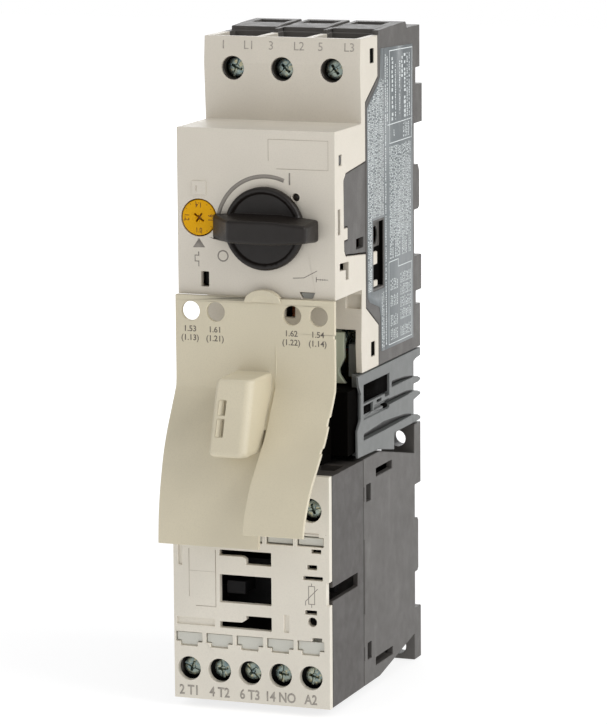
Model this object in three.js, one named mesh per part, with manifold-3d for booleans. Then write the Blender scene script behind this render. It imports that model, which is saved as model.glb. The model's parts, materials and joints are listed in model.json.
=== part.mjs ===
// Direct-on-line motor starter, 45 mm wide: a motor protection breaker with a rotary handle above a
// small contactor, joined by a plug-in connector and a clip-on wiring cover.
// Units are millimetres. +X is right and +Z is up, seen from the front, and the front faces -Y.
// Depths are given as "front": the distance forward of the housings' back plane. The origin is the
// middle of the breaker's rail seat, which lies RAIL_SEAT in front of that plane.
import * as THREE from 'three';
import { mergeVertices } from 'three/addons/utils/BufferGeometryUtils.js';
import { ConvexGeometry } from 'three/addons/geometries/ConvexGeometry.js';
import Module from 'manifold-3d';

const wasm = await Module();
wasm.setup();

// ---- driving dimensions ----
const HALF_WIDTH = 22.5;
const RAIL_SEAT = 5;
const GAP = 0.3;
const WALL = 1.8;
const HOLE_SIDES = 28;
const COIL_STEPS = 10;
const WIRE_SIDES = 5;

const BREAKER_TOP = 45.2;
const BREAKER_BOTTOM = -45.3;
const FACE_FRONT = 69.4;
const FACE_HALF_HEIGHT = 22.5;
const TERMINAL_FRONT = 49;
const SEAM_END = 35.2;
const SEAM_MIDDLE = 45.3;
const POLES = [-14.2, 0, 14.2];
const BREAKER_SCREW_Z = 36.6;
const HANDLE = { x: 2.9, z: -3.8, radius: 11.2, reach: 15.6 };
const DIAL = { x: -16.3, z: -1.7, radius: 4.8 };

const CONTACTOR_TOP = -69.2;
const CONTACTOR_BOTTOM = -132.5;
const CONTACTOR_FRONT = 75.3;
const TERMINALS = [-2, -1, 0, 1, 2].map((step) => -0.6 + 8.78 * step);
const TOP_SCREW_Z = -78.4;
const BOTTOM_SCREW_Z = -124.2;
const CORE_Z = -102.1;

const LINK_LEFT = -22.6;
const LINK_RIGHT = 22.9;
const LINK_SPLIT = 6.2;
const LINK_SHEET = 1.3;

// ---- finishes ----
function finish(color, roughness, metalness = 0) {
  return new THREE.MeshStandardMaterial({ color, roughness, metalness });
}
const LIGHT_COVER = finish(0xd8d0c2, 0.55);
const LINK_COVER = finish(0xd3cab4, 0.5);
const DARK_HOUSING = finish(0x5d5a57, 0.6);
const BLUE_GREY = finish(0x8c9194, 0.55);
const BLACK = finish(0x26221f, 0.5);
const YELLOW = finish(0xd9a514, 0.5);
const ZINC = finish(0x9aa3a0, 0.3, 1);
const BRASS = finish(0xb08d45, 0.35, 1);
const COPPER = finish(0xb06a3c, 0.35, 1);
const SPRING_STEEL = finish(0xaab0b4, 0.3, 1);
const CORE_STEEL = finish(0x7b7f83, 0.4, 1);
const WINDING = finish(0x8a4b22, 0.5);
const MARKER = finish(0xd7dadb, 0.4);

// ---- shape helpers ----
const depthAt = (front) => RAIL_SEAT - front;
const SIDE_BASIS = new THREE.Matrix4().makeBasis(
  new THREE.Vector3(0, 1, 0), new THREE.Vector3(0, 0, 1), new THREE.Vector3(1, 0, 0));
const FRONT_BASIS = new THREE.Matrix4().makeBasis(
  new THREE.Vector3(1, 0, 0), new THREE.Vector3(0, 0, 1), new THREE.Vector3(0, -1, 0));

function toSolid(geometry) {
  geometry.deleteAttribute('normal');
  geometry.deleteAttribute('uv');
  const merged = mergeVertices(geometry, 1e-4);
  return new wasm.Manifold(new wasm.Mesh({
    numProp: 3,
    vertProperties: new Float32Array(merged.attributes.position.array),
    triVerts: new Uint32Array(merged.index.array),
  }));
}

function join(first, ...others) {
  return others.flat().reduce((sum, other) => sum.add(other), first);
}

function cut(first, ...others) {
  return others.flat().reduce((rest, other) => rest.subtract(other), first);
}

// A box from its ranges across (x), forward of the back plane (front) and up (z).
function block([x0, x1], [front0, front1], [z0, z1]) {
  const geometry = new THREE.BoxGeometry(x1 - x0, front1 - front0, z1 - z0);
  geometry.translate((x0 + x1) / 2, depthAt((front0 + front1) / 2), (z0 + z1) / 2);
  return toSolid(geometry);
}

function extrude(points, depth, basis, shift) {
  const shape = new THREE.Shape(points.map(([a, b]) => new THREE.Vector2(a, b)));
  const geometry = new THREE.ExtrudeGeometry(shape, { depth, bevelEnabled: false });
  geometry.applyMatrix4(basis);
  geometry.translate(...shift);
  return toSolid(geometry);
}

// An outline of [front, z] points seen from the side, carried across from x0 to x1.
function sidePrism(points, [x0, x1]) {
  const outline = points.map(([front, z]) => [depthAt(front), z]);
  return extrude(outline, x1 - x0, SIDE_BASIS, [x0, 0, 0]);
}

// An outline of [x, z] points seen from the front, carried forward from front0 to front1.
function frontPrism(points, [front0, front1]) {
  return extrude(points, front1 - front0, FRONT_BASIS, [0, depthAt(front0), 0]);
}

function rodForward([x, z], radius, [front0, front1], sides = HOLE_SIDES, tip = radius) {
  const geometry = new THREE.CylinderGeometry(radius, tip, front1 - front0, sides);
  geometry.translate(x, depthAt((front0 + front1) / 2), z);
  return toSolid(geometry);
}

function rodUp([x, front], radius, [z0, z1], sides = 12) {
  const geometry = new THREE.CylinderGeometry(radius, radius, z1 - z0, sides);
  geometry.rotateX(Math.PI / 2);
  geometry.translate(x, depthAt(front), (z0 + z1) / 2);
  return toSolid(geometry);
}

function hull(corners) {
  const points = corners.map(([x, front, z]) => new THREE.Vector3(x, depthAt(front), z));
  return toSolid(new ConvexGeometry(points));
}

// A round-wire coil of the given turns, wound about a line that starts at `start` and runs along
// `direction`, with its wire centre at `radius` from the line.
function coil(start, direction, length, radius, wire, turns) {
  const side = new THREE.Vector3(1, 0, 0);
  const other = new THREE.Vector3().crossVectors(direction, side);
  const steps = turns * COIL_STEPS;
  const points = [];
  for (let i = 0; i <= steps; i += 1) {
    const angle = (i / COIL_STEPS) * 2 * Math.PI;
    points.push(start.clone()
      .addScaledVector(direction, (length * i) / steps)
      .addScaledVector(side, radius * Math.cos(angle))
      .addScaledVector(other, radius * Math.sin(angle)));
  }
  const section = new THREE.Shape();
  for (let i = 0; i < WIRE_SIDES; i += 1) {
    const angle = (i / WIRE_SIDES) * 2 * Math.PI;
    const corner = [wire * Math.cos(angle), wire * Math.sin(angle)];
    if (i === 0) section.moveTo(...corner);
    else section.lineTo(...corner);
  }
  section.closePath();
  const path = new THREE.CatmullRomCurve3(points);
  return toSolid(new THREE.ExtrudeGeometry(section, { steps, extrudePath: path, bevelEnabled: false }));
}

const starter = new THREE.Group();

function part(name, solid, look) {
  const { vertProperties, triVerts } = solid.getMesh();
  const geometry = new THREE.BufferGeometry();
  geometry.setAttribute('position', new THREE.BufferAttribute(vertProperties, 3));
  geometry.setIndex(new THREE.BufferAttribute(triVerts, 1));
  geometry.computeVertexNormals();
  const mesh = new THREE.Mesh(geometry, look);
  mesh.name = name;
  starter.add(mesh);
}

// ---- breaker housing ----
const BREAKER_INNER = HALF_WIDTH - WALL;

function mirroredBlocks([x0, x1], front, z) {
  return [block([x0, x1], front, z), block([-x1, -x0], front, z)];
}

// The raised hood over a pole's terminals, from its front edge back.
function poleShroud([x0, x1], front) {
  return sidePrism([[11, 44], [front, 44], [front, 46.4], [23, 46.8], [12, 47], [11, 45.9]], [x0, x1]);
}

function breakerBase() {
  const seamEnd = SEAM_END - 0.35;
  const seamMiddle = SEAM_MIDDLE - 0.35;
  const outline = [
    [seamEnd, BREAKER_TOP], [seamEnd, 33.8], [seamMiddle, 27.8], [seamMiddle, -27.8], [seamEnd, -33.8],
    [seamEnd, BREAKER_BOTTOM], [0, BREAKER_BOTTOM], [0, -33], [3.7, -33], [3.7, -29.2], [-1.1, -29.2],
    [-1.1, -19.3], [RAIL_SEAT, -19.3], [RAIL_SEAT, 18], [-1.9, 18], [-1.9, 28.8], [3.6, 28.8],
    [3.6, 33.5], [0, 33.5], [0, BREAKER_TOP],
  ];
  const shell = cut(
    sidePrism(outline, [-HALF_WIDTH, HALF_WIDTH]),
    block([-BREAKER_INNER, BREAKER_INNER], [9, 50], [-43.4, 43.3]));
  const partitions = [-7.1, 7.1].map((x) => block([x - 0.5, x + 0.5], [8, 30], [-44, 44]));
  const shrouds = [
    poleShroud([-21.5, -8.05], 31), poleShroud([-6.15, 6.15], 31), poleShroud([8.05, HALF_WIDTH], 31),
    poleShroud([20.7, HALF_WIDTH], 34.4),
  ];
  const ribs = [-7.1, 7.1].map((x) => sidePrism(
    [[4.7, 44], [34.4, 44], [34.4, 46.2], [30, 46.3], [4.7, 46]], [x - 0.6, x + 0.6]));
  const hookLip = block([-16, 16], [-1.9, 3.4], [16.3, 18.4]);
  const sideRibs = [-1, 1].map((side) => sidePrism(
    [[6, 6.4], [1.6, 6.4], [0.5, 4.5], [0.5, -5.5], [1.6, -6.2], [6, -6.2]],
    side > 0 ? [18.5, HALF_WIDTH] : [-HALF_WIDTH, -18.5]));
  const windowEar = sidePrism(
    [[43, 11.9], [60.4, 10.3], [62.3, 8.4], [61.9, -9.8], [60.8, -11.3], [43, -12.9]],
    [BREAKER_INNER + 0.15, HALF_WIDTH - 0.2]);
  const body = join(shell, partitions, shrouds, ribs, hookLip, sideRibs, windowEar);
  return cut(
    body,
    POLES.map((x) => block([x - 6.1, x + 6.1], [31.5, 36], [42, 50])),
    POLES.map((x) => block([x - 3, x + 3], [31.5, 36], [-50, -42])),
    POLES.map((x) => block([x - 4.6, x + 4.6], [15, 22], [45, 50])),
    block([10, 24], [59.2, 64], [-7.7, -3.7]),
    block([20, 24], [46.8, 52.4], [-11, -8.2]),
    latchChannel(BREAKER_LATCH),
    sideWindow());
}

// The pocket in the base's right wall with a round-ended sight hole, beside the cover's seam.
function sideWindow() {
  return join(
    block([21.3, 24], [31, 39.2], [-23.6, -5.6]),
    block([18, 24], [35.4, 39], [-21.4, -17.5]),
    sidePrism(ovalOutline(34.8, -9.4, 2.3, 2.6), [18, 24]));
}

function ovalOutline(front, z, halfWide, halfHigh) {
  const points = [];
  for (let i = 0; i < 12; i += 1) {
    const angle = (i / 12) * 2 * Math.PI;
    points.push([front + halfWide * Math.cos(angle), z + halfHigh * Math.sin(angle)]);
  }
  return points;
}

function breakerCover() {
  const outer = sidePrism([
    [SEAM_END, BREAKER_TOP], [48.6, BREAKER_TOP], [TERMINAL_FRONT + 0.2, 38], [48.3, FACE_HALF_HEIGHT],
    [FACE_FRONT, FACE_HALF_HEIGHT], [FACE_FRONT, -FACE_HALF_HEIGHT], [48.3, -FACE_HALF_HEIGHT],
    [TERMINAL_FRONT + 0.2, -38], [48.6, BREAKER_BOTTOM], [SEAM_END, BREAKER_BOTTOM], [SEAM_END, -34],
    [SEAM_MIDDLE, -28], [SEAM_MIDDLE, 28], [SEAM_END, 34],
  ], [-HALF_WIDTH, HALF_WIDTH]);
  const inner = sidePrism([
    [30, 43.5], [47, 43.5], [47, 21], [67.4, 21], [67.4, -21], [47, -21], [47, -43.5], [30, -43.5],
  ], [-BREAKER_INNER, BREAKER_INNER]);
  const partitions = [-7.1, 7.1].map((x) => block([x - 0.5, x + 0.5], [36.8, 47.5], [24, BREAKER_TOP]));
  const testGuideLug = frontPrism([[-18.2, 4.5], [-14.1, 4.5], [-14.1, 8.2], [-18.2, 8.2]], [69, 70.2]);
  const tab = block([BREAKER_INNER, HALF_WIDTH], [59.6, 63.2], [-7.3, -4.1]);
  const body = cut(
    join(cut(outer, inner), partitions, testGuideLug),
    POLES.map((x) => block([x - 6.1, x + 6.1], [34, 46.9], [42, 50])),
    block([-BREAKER_INNER, BREAKER_INNER], [34, 50], [-50, -33.5]),
    POLES.map((x) => rodForward([x, BREAKER_SCREW_Z], 3.25, [44, 52])),
    rodForward([HANDLE.x, HANDLE.z], 3.7, [60, 72]),
    rodForward([DIAL.x, DIAL.z], DIAL.radius + GAP, [60, 72]),
    block([-15.8, -13.6], [60, 72], [-20.3, -16.2]),
    block([-17.2, -16.8], [69.6, 72], [4.9, 7.2]),
    rodForward([11.4, 4.7], 1.1, [67.9, 72], 16),
    frontPrism([[12.2, -20.6], [16.7, -20.6], [15.6, -23], [13.3, -23]], [68, 72]),
    block([0.2, 3.2], [46, 50], [-31, -27.8]),
    block([17.8, 22], [47.6, 50], [-27.8, -23.8]),
    coverSideCuts());
  return join(body, tab);
}

// Openings in the cover's right wall, and the two latch slots that both walls have.
function coverSideCuts() {
  const wall = [18, 24];
  return [
    sidePrism([[44, 12.2], [60.8, 10.6], [62.7, 8.7], [62.3, -10.1], [61.1, -11.7], [44, -13.3]], wall),
    sidePrism([
      [65.8, -13.1], [58.8, -13.4], [58.9, -18.1], [61.2, -18], [61.2, -15.3], [65.8, -15],
    ], wall),
    block([20, 24], [65.2, 67.1], [-5.3, 1.5]),
    block([21.9, 24], [64, 66.2], [13, 16]),
    [-1, 1].flatMap((side) => mirroredBlocks(wall, [38, 41.3], side > 0 ? [38, 42] : [-42, -38])),
  ].flat();
}

// ---- rail latches: a slider in a channel with side grooves, pushed up by a spring ----
const BREAKER_LATCH = {
  seatEdge: -19.3, bottom: BREAKER_BOTTOM, halfWidth: 10, back: -0.8, frontSide: 4.6, lip: -16.6, tail: -41.4,
};
const CONTACTOR_LATCH = {
  seatEdge: -119.9, bottom: -134.8, halfWidth: 9, back: 0.3, frontSide: 4.6, lip: -118.1, tail: -134.2,
};

function latchChannel({ seatEdge, bottom, halfWidth }) {
  const wide = halfWidth + GAP;
  return join(
    block([-wide, wide], [-3, RAIL_SEAT], [bottom - 2, seatEdge + 0.5]),
    block([-wide - 2, wide + 2], [1.7, 4], [bottom - 2, seatEdge - 2]));
}

function railLatch({ seatEdge, halfWidth, back, frontSide, lip, tail }) {
  const body = join(
    block([-halfWidth, halfWidth], [back, frontSide], [tail, seatEdge - 0.4]),
    block([-halfWidth, halfWidth], [back, 3.4], [seatEdge - 1, lip]),
    block([-halfWidth - 1.7, halfWidth + 1.7], [2, 3.7], [tail, seatEdge - 5]));
  const window = springWindow(tail);
  return cut(
    body,
    block([-2.7, 2.7], [-3, 6], window),
    block([-3.5, 3.5], [back - 1, back + 1.2], [tail - 1, tail + 1.4]));
}

// The slot that holds the latch spring, as a z range.
function springWindow(tail) {
  return [tail + 2, tail + 12.6];
}

function springStop(tail) {
  const [low] = springWindow(tail);
  return block([-2.2, 2.2], [0.8, 6], [low + 0.3, low + 1.8]);
}

function latchSpring(tail) {
  const [low, high] = springWindow(tail);
  const start = new THREE.Vector3(0, depthAt(2.6), low + 2.5);
  return coil(start, new THREE.Vector3(0, 0, 1), high - low - 3.2, 1.5, 0.3, 4);
}

// ---- breaker works ----
function breakerHandle() {
  const { x, z, radius, reach } = HANDLE;
  const disc = join(
    rodForward([x, z], radius, [69.8, 71.4], 32),
    rodForward([x, z], radius - 0.5, [71.4, 72], 32, radius));
  const left = x - 14.65;
  const right = x + reach;
  const bar = hull([
    [left, 69.9, z - 3.6], [left, 69.9, z + 3.6], [left, 71.4, z - 3.4], [left, 71.4, z + 3.4],
    [left + 7.4, 79.4, z - 3], [left + 7.4, 79.4, z + 3], [x + 5, 80.4, z - 3.1], [x + 5, 80.4, z + 3.1],
    [right - 0.4, 80, z - 2.3], [right - 0.4, 80, z + 2.3], [right, 70.4, z - 3], [right, 70.4, z + 3],
    [x + 5, 69.9, z - 4], [x + 5, 69.9, z + 4], [left + 7.4, 69.9, z - 4], [left + 7.4, 69.9, z + 4],
  ]);
  const socket = rodForward([x, z], 3.5, [69, 74], 20);
  return cut(join(disc, bar), socket);
}

function handleShaft() {
  const at = [HANDLE.x, HANDLE.z];
  return join(rodForward(at, 3.2, [41.6, 73.7], 20), rodForward(at, 6, [41.6, 44.4], 20));
}

function settingDial() {
  const { x, z, radius } = DIAL;
  const arm = radius * 0.62;
  return cut(
    join(
      rodForward([x, z], radius, [66.2, 69.5], 32),
      rodForward([x, z], 2, [51, 66.4], 12),
      rodForward([x, z], 3.4, [50, 52], 12)),
    block([x - arm, x + arm], [68.6, 72], [z - 0.55, z + 0.55]),
    block([x - 0.55, x + 0.55], [68.6, 72], [z - arm, z + arm]));
}

function tripTestSlider() {
  return join(
    block([-15.5, -13.9], [54, 67], [-20, -16.5]),
    block([-16.8, -12.6], [62.2, 64.6], [-20.4, -15.6]));
}

function switchMechanism() {
  const pillars = [[-5.5, -12], [-5.5, 4.5], [11.3, -12], [11.3, 4.5]];
  const plates = [[46, 47.4], [58.6, 60]].map((front) => block([-8, 13.8], front, [-14.5, 7]));
  return cut(
    join(plates[0], plates[1], pillars.map((at) => rodForward(at, 1.5, [47, 59], 8))),
    rodForward([HANDLE.x, HANDLE.z], 3.6, [40, 64], 20));
}

function contactBridge() {
  const beam = block([-18.6, 18.6], [36.6, 40.6], [-2.5, 2.5]);
  const contacts = POLES.map((x) => join(
    block([x - 2, x + 2], [34.2, 35.2], [-9, 9]),
    block([x - 1.6, x + 1.6], [35, 37], [-1.6, 1.6]),
    [-7.4, 7.4].map((z) => rodForward([x, z], 1.5, [33.5, 34.4], 10))));
  return join(beam, contacts);
}

function lineBar(x) {
  const wide = [x - 2.2, x + 2.2];
  return join(
    block(wide, [35.6, 36.6], [29.6, 41.5]),
    block(wide, [28, 36.6], [29.6, 30.8]),
    block(wide, [28, 29.2], [5.6, 30.8]),
    rodForward([x, 7.4], 1.5, [29, 30.2], 10));
}

function tripUnit(x) {
  const wide = [x - 2.2, x + 2.2];
  return join(
    block(wide, [35.6, 36.6], [-41.5, -29.6]),
    block(wide, [16.5, 36.6], [-30.8, -29.6]),
    block([x - 1.5, x + 1.5], [24, 24.8], [-30, -11]),
    rodUp([x, 18], 1.4, [-30, -8.4]),
    rodUp([x, 18], 4.5, [-26, -12]),
    block(wide, [16.8, 29.2], [-9.2, -8]),
    block(wide, [28, 29.2], [-9.2, -5.6]),
    rodForward([x, -7.4], 1.5, [29, 30.2], 10));
}

// ---- screw terminals ----
const BREAKER_SCREW = { head: 2.9, headFront: [43.9, 45.9], shank: 1.6, tip: 36.9 };
const CONTACTOR_SCREW = { head: 2.65, headFront: [70.9, 72.7], shank: 1.4, tip: 63.4 };

function terminalScrew([x, z], { head, headFront, shank, tip }) {
  const [under, top] = headFront;
  const slot = head * 0.62;
  return cut(
    join(rodForward([x, z], head, headFront, 16), rodForward([x, z], shank, [tip, under + 0.2], 8)),
    block([x - slot, x + slot], [top - 1, top + 1], [z - 0.4, z + 0.4]),
    block([x - 0.4, x + 0.4], [top - 1, top + 1], [z - slot, z + slot]));
}

function clampCage(x, z) {
  return cut(
    block([x - 4.2, x + 4.2], [30.5, 40], [z - 3.6, z + 3.6]),
    block([x - 3, x + 3], [32, 38.6], [z - 5, z + 5]),
    rodForward([x, z], 1.95, [38, 42], 8));
}

// ---- contactor housing ----
function contactorBase() {
  const outline = [
    [48, CONTACTOR_TOP], [35, CONTACTOR_TOP], [5.5, -75.1], [5.5, -66.9], [0, -66.9], [0, -84.3],
    [RAIL_SEAT, -84.3], [RAIL_SEAT, -119.9], [0, -119.9], [0, -134.8], [5.5, -134.8], [5.5, -127.2],
    [35, CONTACTOR_BOTTOM], [48, CONTACTOR_BOTTOM],
  ];
  const inner = [
    [50, -71.1], [35.3, -71.1], [7.4, -76.9], [7.4, -125.4], [35.3, -130.6], [50, -130.6],
  ];
  const shell = cut(
    sidePrism(outline, [-HALF_WIDTH, HALF_WIDTH]),
    sidePrism(inner, [-HALF_WIDTH + WALL, HALF_WIDTH - WALL]));
  const hookLip = block([-15, 15], [0, 3.4], [-86, -84]);
  const sideRibs = [-1, 1].map((side) => sidePrism(
    [[6, -94], [2.8, -94], [2.1, -94.8], [2.1, -108.6], [2.8, -109.4], [6, -109.4]],
    side > 0 ? [19, HALF_WIDTH] : [-HALF_WIDTH, -19]));
  const lugHoles = [-17.5, 17.5].flatMap((x) => [-71.2, -131.2].map(
    (z) => rodForward([x, z], 2.3, [-2, 12], 20)));
  const lugGap = block([-12.6, 12.6], [-2, 5.5], [-76, -60]);
  const sideSlots = [
    [[24.6, 37.9], [-75.8, -73.5]], [[42.1, 45.8], [-81.4, -76.7]],
    [[42, 45.2], [-125.6, -121]], [[24.4, 38.5], [-128.7, -126.5]],
  ].flatMap(([front, z]) => mirroredBlocks([20, 24], front, z));
  return cut(
    join(shell, hookLip, sideRibs),
    lugHoles,
    lugGap,
    sideSlots,
    latchChannel(CONTACTOR_LATCH));
}

function wireEntries(zRange) {
  return TERMINALS.map((x) => block([x - 3.3, x + 3.3], [57.6, 65.4], zRange));
}

function contactorHousing() {
  const outer = block([-HALF_WIDTH, HALF_WIDTH], [48 + GAP, 73], [CONTACTOR_BOTTOM, CONTACTOR_TOP]);
  const inner = block([-HALF_WIDTH + 1.5, HALF_WIDTH - 1.5], [40, 80], [-130.6, -71.1]);
  const shelf = cut(
    block([-21.5, 21.5], [50, 52], [-131, -70]),
    block([-11.5, 10.3], [45, 56], [-110.6, -93.6]));
  return cut(
    join(cut(outer, inner), shelf),
    wireEntries([-135, -130]),
    wireEntries([-72, -65]),
    block([20, 24], [53, 76], [-103.2, -99.5]));
}

function markerWindow(x, farZ, nearZ, tabZ) {
  return [
    block([x - 3.85, x + 3.85], [72, 78], [Math.min(farZ, nearZ), Math.max(farZ, nearZ)]),
    block([x - 2.5, x + 2.5], [74.3, 78], [Math.min(nearZ, tabZ), Math.max(nearZ, tabZ)]),
  ];
}

function contactorCover() {
  const plate = block([-HALF_WIDTH, HALF_WIDTH], [73 + GAP, CONTACTOR_FRONT], [CONTACTOR_BOTTOM, -69]);
  const through = [71, 78];
  const upperSlot = frontPrism([
    [-9.1, -90.7], [5.8, -90.7], [5.8, -94.4], [-1.4, -94.4], [-1.5, -92.9], [-2.5, -92.3], [-9.1, -92.3],
  ], through);
  const lowerSlot = frontPrism([
    [-9.1, -110.5], [-2.7, -110.4], [-1.5, -109.6], [-1.5, -108.5], [5.8, -108.5], [5.8, -112.3],
    [-9.1, -112.2],
  ], through);
  const smallSlots = [
    [[17.3, 20.1], [-90, -88.9]], [[16.1, 18.9], [-94.5, -93.2]], [[14.9, 20.5], [-97.4, -96.3]],
    [[15.4, 18.8], [-106.8, -105.6]], [[17.4, 20.2], [-114.1, -113.1]],
  ].map(([x, z]) => block(x, through, z));
  return cut(
    plate,
    TERMINALS.flatMap((x) => [TOP_SCREW_Z, BOTTOM_SCREW_Z].map((z) => rodForward([x, z], 3.3, through))),
    TERMINALS.flatMap((x) => markerWindow(x, -114.1, -116.8, -118)),
    TERMINALS.flatMap((x) => markerWindow(x, -88.3, -85.6, -84.4)),
    block([-9.1, 5.8], through, [-105.2, -97.5]),
    upperSlot,
    lowerSlot,
    smallSlots,
    rodForward([17.5, -108.8], 1.3, through, 16),
    block([9.4, 10.8], [74.8, 78], [-112.2, -107.4]),
    block([-21.6, -10.6], [74.7, 78], [-112, -110]),
    block([-21, -19.9], [74.8, 78], [-95.6, -88]),
    block([21.6, 24], [72, 78], [-104.1, -97.7]));
}

function markerStrip(zRange) {
  const [z0, z1] = zRange;
  const backing = block([-20.3, 20.3], [71.2, 72.6], [z0 - 0.5, z1 + 0.5]);
  const necks = TERMINALS.map((x) => block([x - 2, x + 2], [72, 73.8], [z0, z1]));
  return join(backing, necks, TERMINALS.map((x) => block([x - 3.55, x + 3.55], [73.4, 74.4], [z0, z1])));
}

function terminalBlock([z0, z1], screwZ) {
  return cut(
    block([-20.3, 20.3], [56.5, 69.6], [z0, z1]),
    TERMINALS.map((x) => block([x - 2.9, x + 2.9], [58.5, 64], [z0 - 1, z1 + 1])),
    TERMINALS.map((x) => rodForward([x, screwZ], 1.8, [63, 71], 8)));
}

// ---- contactor works ----
function contactCarrier() {
  return join(
    block([-8.1, -2.7], [64, 72.6], [-103.2, -99.6]),
    block([-10.8, 9.6], [55.5, 65], [-109.6, -94.6]),
    block([-19.6, 18.4], [57, 60], [-104, -100.2]),
    block([-7, 7], [46, 56], [-106, -98.2]));
}

// An E-shaped stack of sheets: a yoke across the back with three legs.
function magnetCore(yokeFront, legFront) {
  const stack = [CORE_Z - 5, CORE_Z + 5];
  const legs = [[-17, -12.6], [-4, 4], [12.6, 17]].map((x) => block(x, legFront, stack));
  return join(block([-17, 17], yokeFront, stack), legs);
}

function magnetCoil() {
  const bobbin = [[13.2, 14.6], [29, 30.4]].map((front) => block([-12.2, 12.2], front, [-114, -90.2]));
  return cut(
    join(block([-11, 11], [14, 29.6], [-112.6, -91.6]), bobbin),
    block([-4.4, 4.4], [10, 34], [CORE_Z - 5.4, CORE_Z + 5.4]));
}

// ---- link between breaker and contactor ----
const LINK_LEFT_PROFILE = [
  [71.4, -22.4], [71.4, -45.5], [72.4, -48.6], [75, -52.8], [78.3, -58.2], [80.8, -63.4], [82.6, -68.8],
  [84, -74.2], [84.9, -79.4], [85.3, -83.6], [85.5, -87.8],
];
const LINK_RIGHT_PROFILE = [
  [71.4, -22.4], [71.4, -44.6], [72.5, -47.8], [75.2, -51.8], [78.6, -57.2], [82.2, -61], [86.2, -64.9],
  [90.8, -69.6], [94.2, -74.8], [96, -78.6], [96.8, -81.4],
];

function bentSheet(profile, xRange) {
  const back = profile.map(([front, z], i) => {
    const [f0, z0] = profile[Math.max(i - 1, 0)];
    const [f1, z1] = profile[Math.min(i + 1, profile.length - 1)];
    const length = Math.hypot(f1 - f0, z1 - z0);
    return [front + (LINK_SHEET * (z1 - z0)) / length, z - (LINK_SHEET * (f1 - f0)) / length];
  });
  return sidePrism([...profile, ...back.reverse()], xRange);
}

function linkCover() {
  const sheet = join(
    bentSheet(LINK_LEFT_PROFILE, [LINK_LEFT, LINK_SPLIT]),
    bentSheet(LINK_RIGHT_PROFILE, [LINK_SPLIT - 0.3, LINK_RIGHT]));
  const humpProfile = [[70.4, -42.3], [84.8, -42.3], [91.2, -61.4], [90.4, -62.6], [79, -62.6]];
  const hump = sidePrism(humpProfile, [-5.6, 4.8]);
  const hollow = sidePrism([[66, -43.6], [83.7, -43.6], [89.6, -61.3], [76, -61.3]], [-4.4, 3.6]);
  const thumbTab = frontPrism(archOutline(2.6, -23.6, 5.2, 3.5), [70.1, 72]);
  const tongue = frontPrism([
    [-17, -34.5], [17, -34.5], [17, -41.5], [15.4, -44.8], [15.6, -46.2], [17.4, -48.6], [-17.4, -48.6],
    [-15.6, -46.2], [-15.4, -44.8], [-17, -41.5],
  ], [46.3, 47.8]);
  const rib = block([-11, 11], [47, 70.8], [-48.6, -47.2]);
  return cut(
    join(sheet, hump, thumbTab, tongue, rib),
    cut(hollow, block([-12, 12], [40, 74], [-50, -46.5])),
    [-18.2, -11, 10.8, 18.3].map((x) => rodForward([x, -26.7], 2.6, [66, 75])),
    [[-52, -48], [-56.6, -52.9]].map((z) => block([-3.3, -2.2], [80, 95], z)),
    block([5, 5.5], [70, 92], [-61.4, -57]));
}

function archOutline(x, z, halfWide, high) {
  const points = [];
  for (let i = 0; i <= 12; i += 1) {
    const angle = (i / 12) * Math.PI;
    points.push([x + halfWide * Math.cos(angle), z + high * Math.sin(angle)]);
  }
  return points;
}

// The grooves in the connector's flanks. Each slopes inward down to its ledge, and runs between
// cross-sections at several fronts.
const FLANK_GROOVES = [
  [{ front: 24.5, top: -51.3, ledge: -53.1, deep: 1.9 }, { front: 14, top: -51.8, ledge: -53.1, deep: 1.8 },
    { front: 7, top: -52.8, ledge: -53.1, deep: 0.5 }],
  [{ front: 27, top: -55.8, ledge: -57.6, deep: 1.9 }, { front: 12, top: -56.1, ledge: -57.5, deep: 1.7 },
    { front: 7, top: -56.9, ledge: -57.2, deep: 0.5 }],
  [{ front: 47.6, top: -62.1, ledge: -64, deep: 1.9 }, { front: 29, top: -61.3, ledge: -64.1, deep: 1.9 },
    { front: 14, top: -62.4, ledge: -63.9, deep: 1.7 }, { front: 8, top: -63.5, ledge: -63.8, deep: 0.5 }],
];

function grooveSection({ front, top, ledge, deep }, side) {
  const skin = HALF_WIDTH + 0.3;
  const floor = HALF_WIDTH - deep;
  const shoulder = HALF_WIDTH - 0.35 * deep;
  const slope = top + 0.55 * (ledge - top);
  return [[skin, top], [skin, ledge], [floor, ledge - 0.1], [shoulder, slope]].map(
    ([x, z]) => [side * x, front, z]);
}

function flankGroove(sections, side) {
  return sections.slice(1).map(
    (section, i) => hull([...grooveSection(sections[i], side), ...grooveSection(section, side)]));
}

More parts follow.
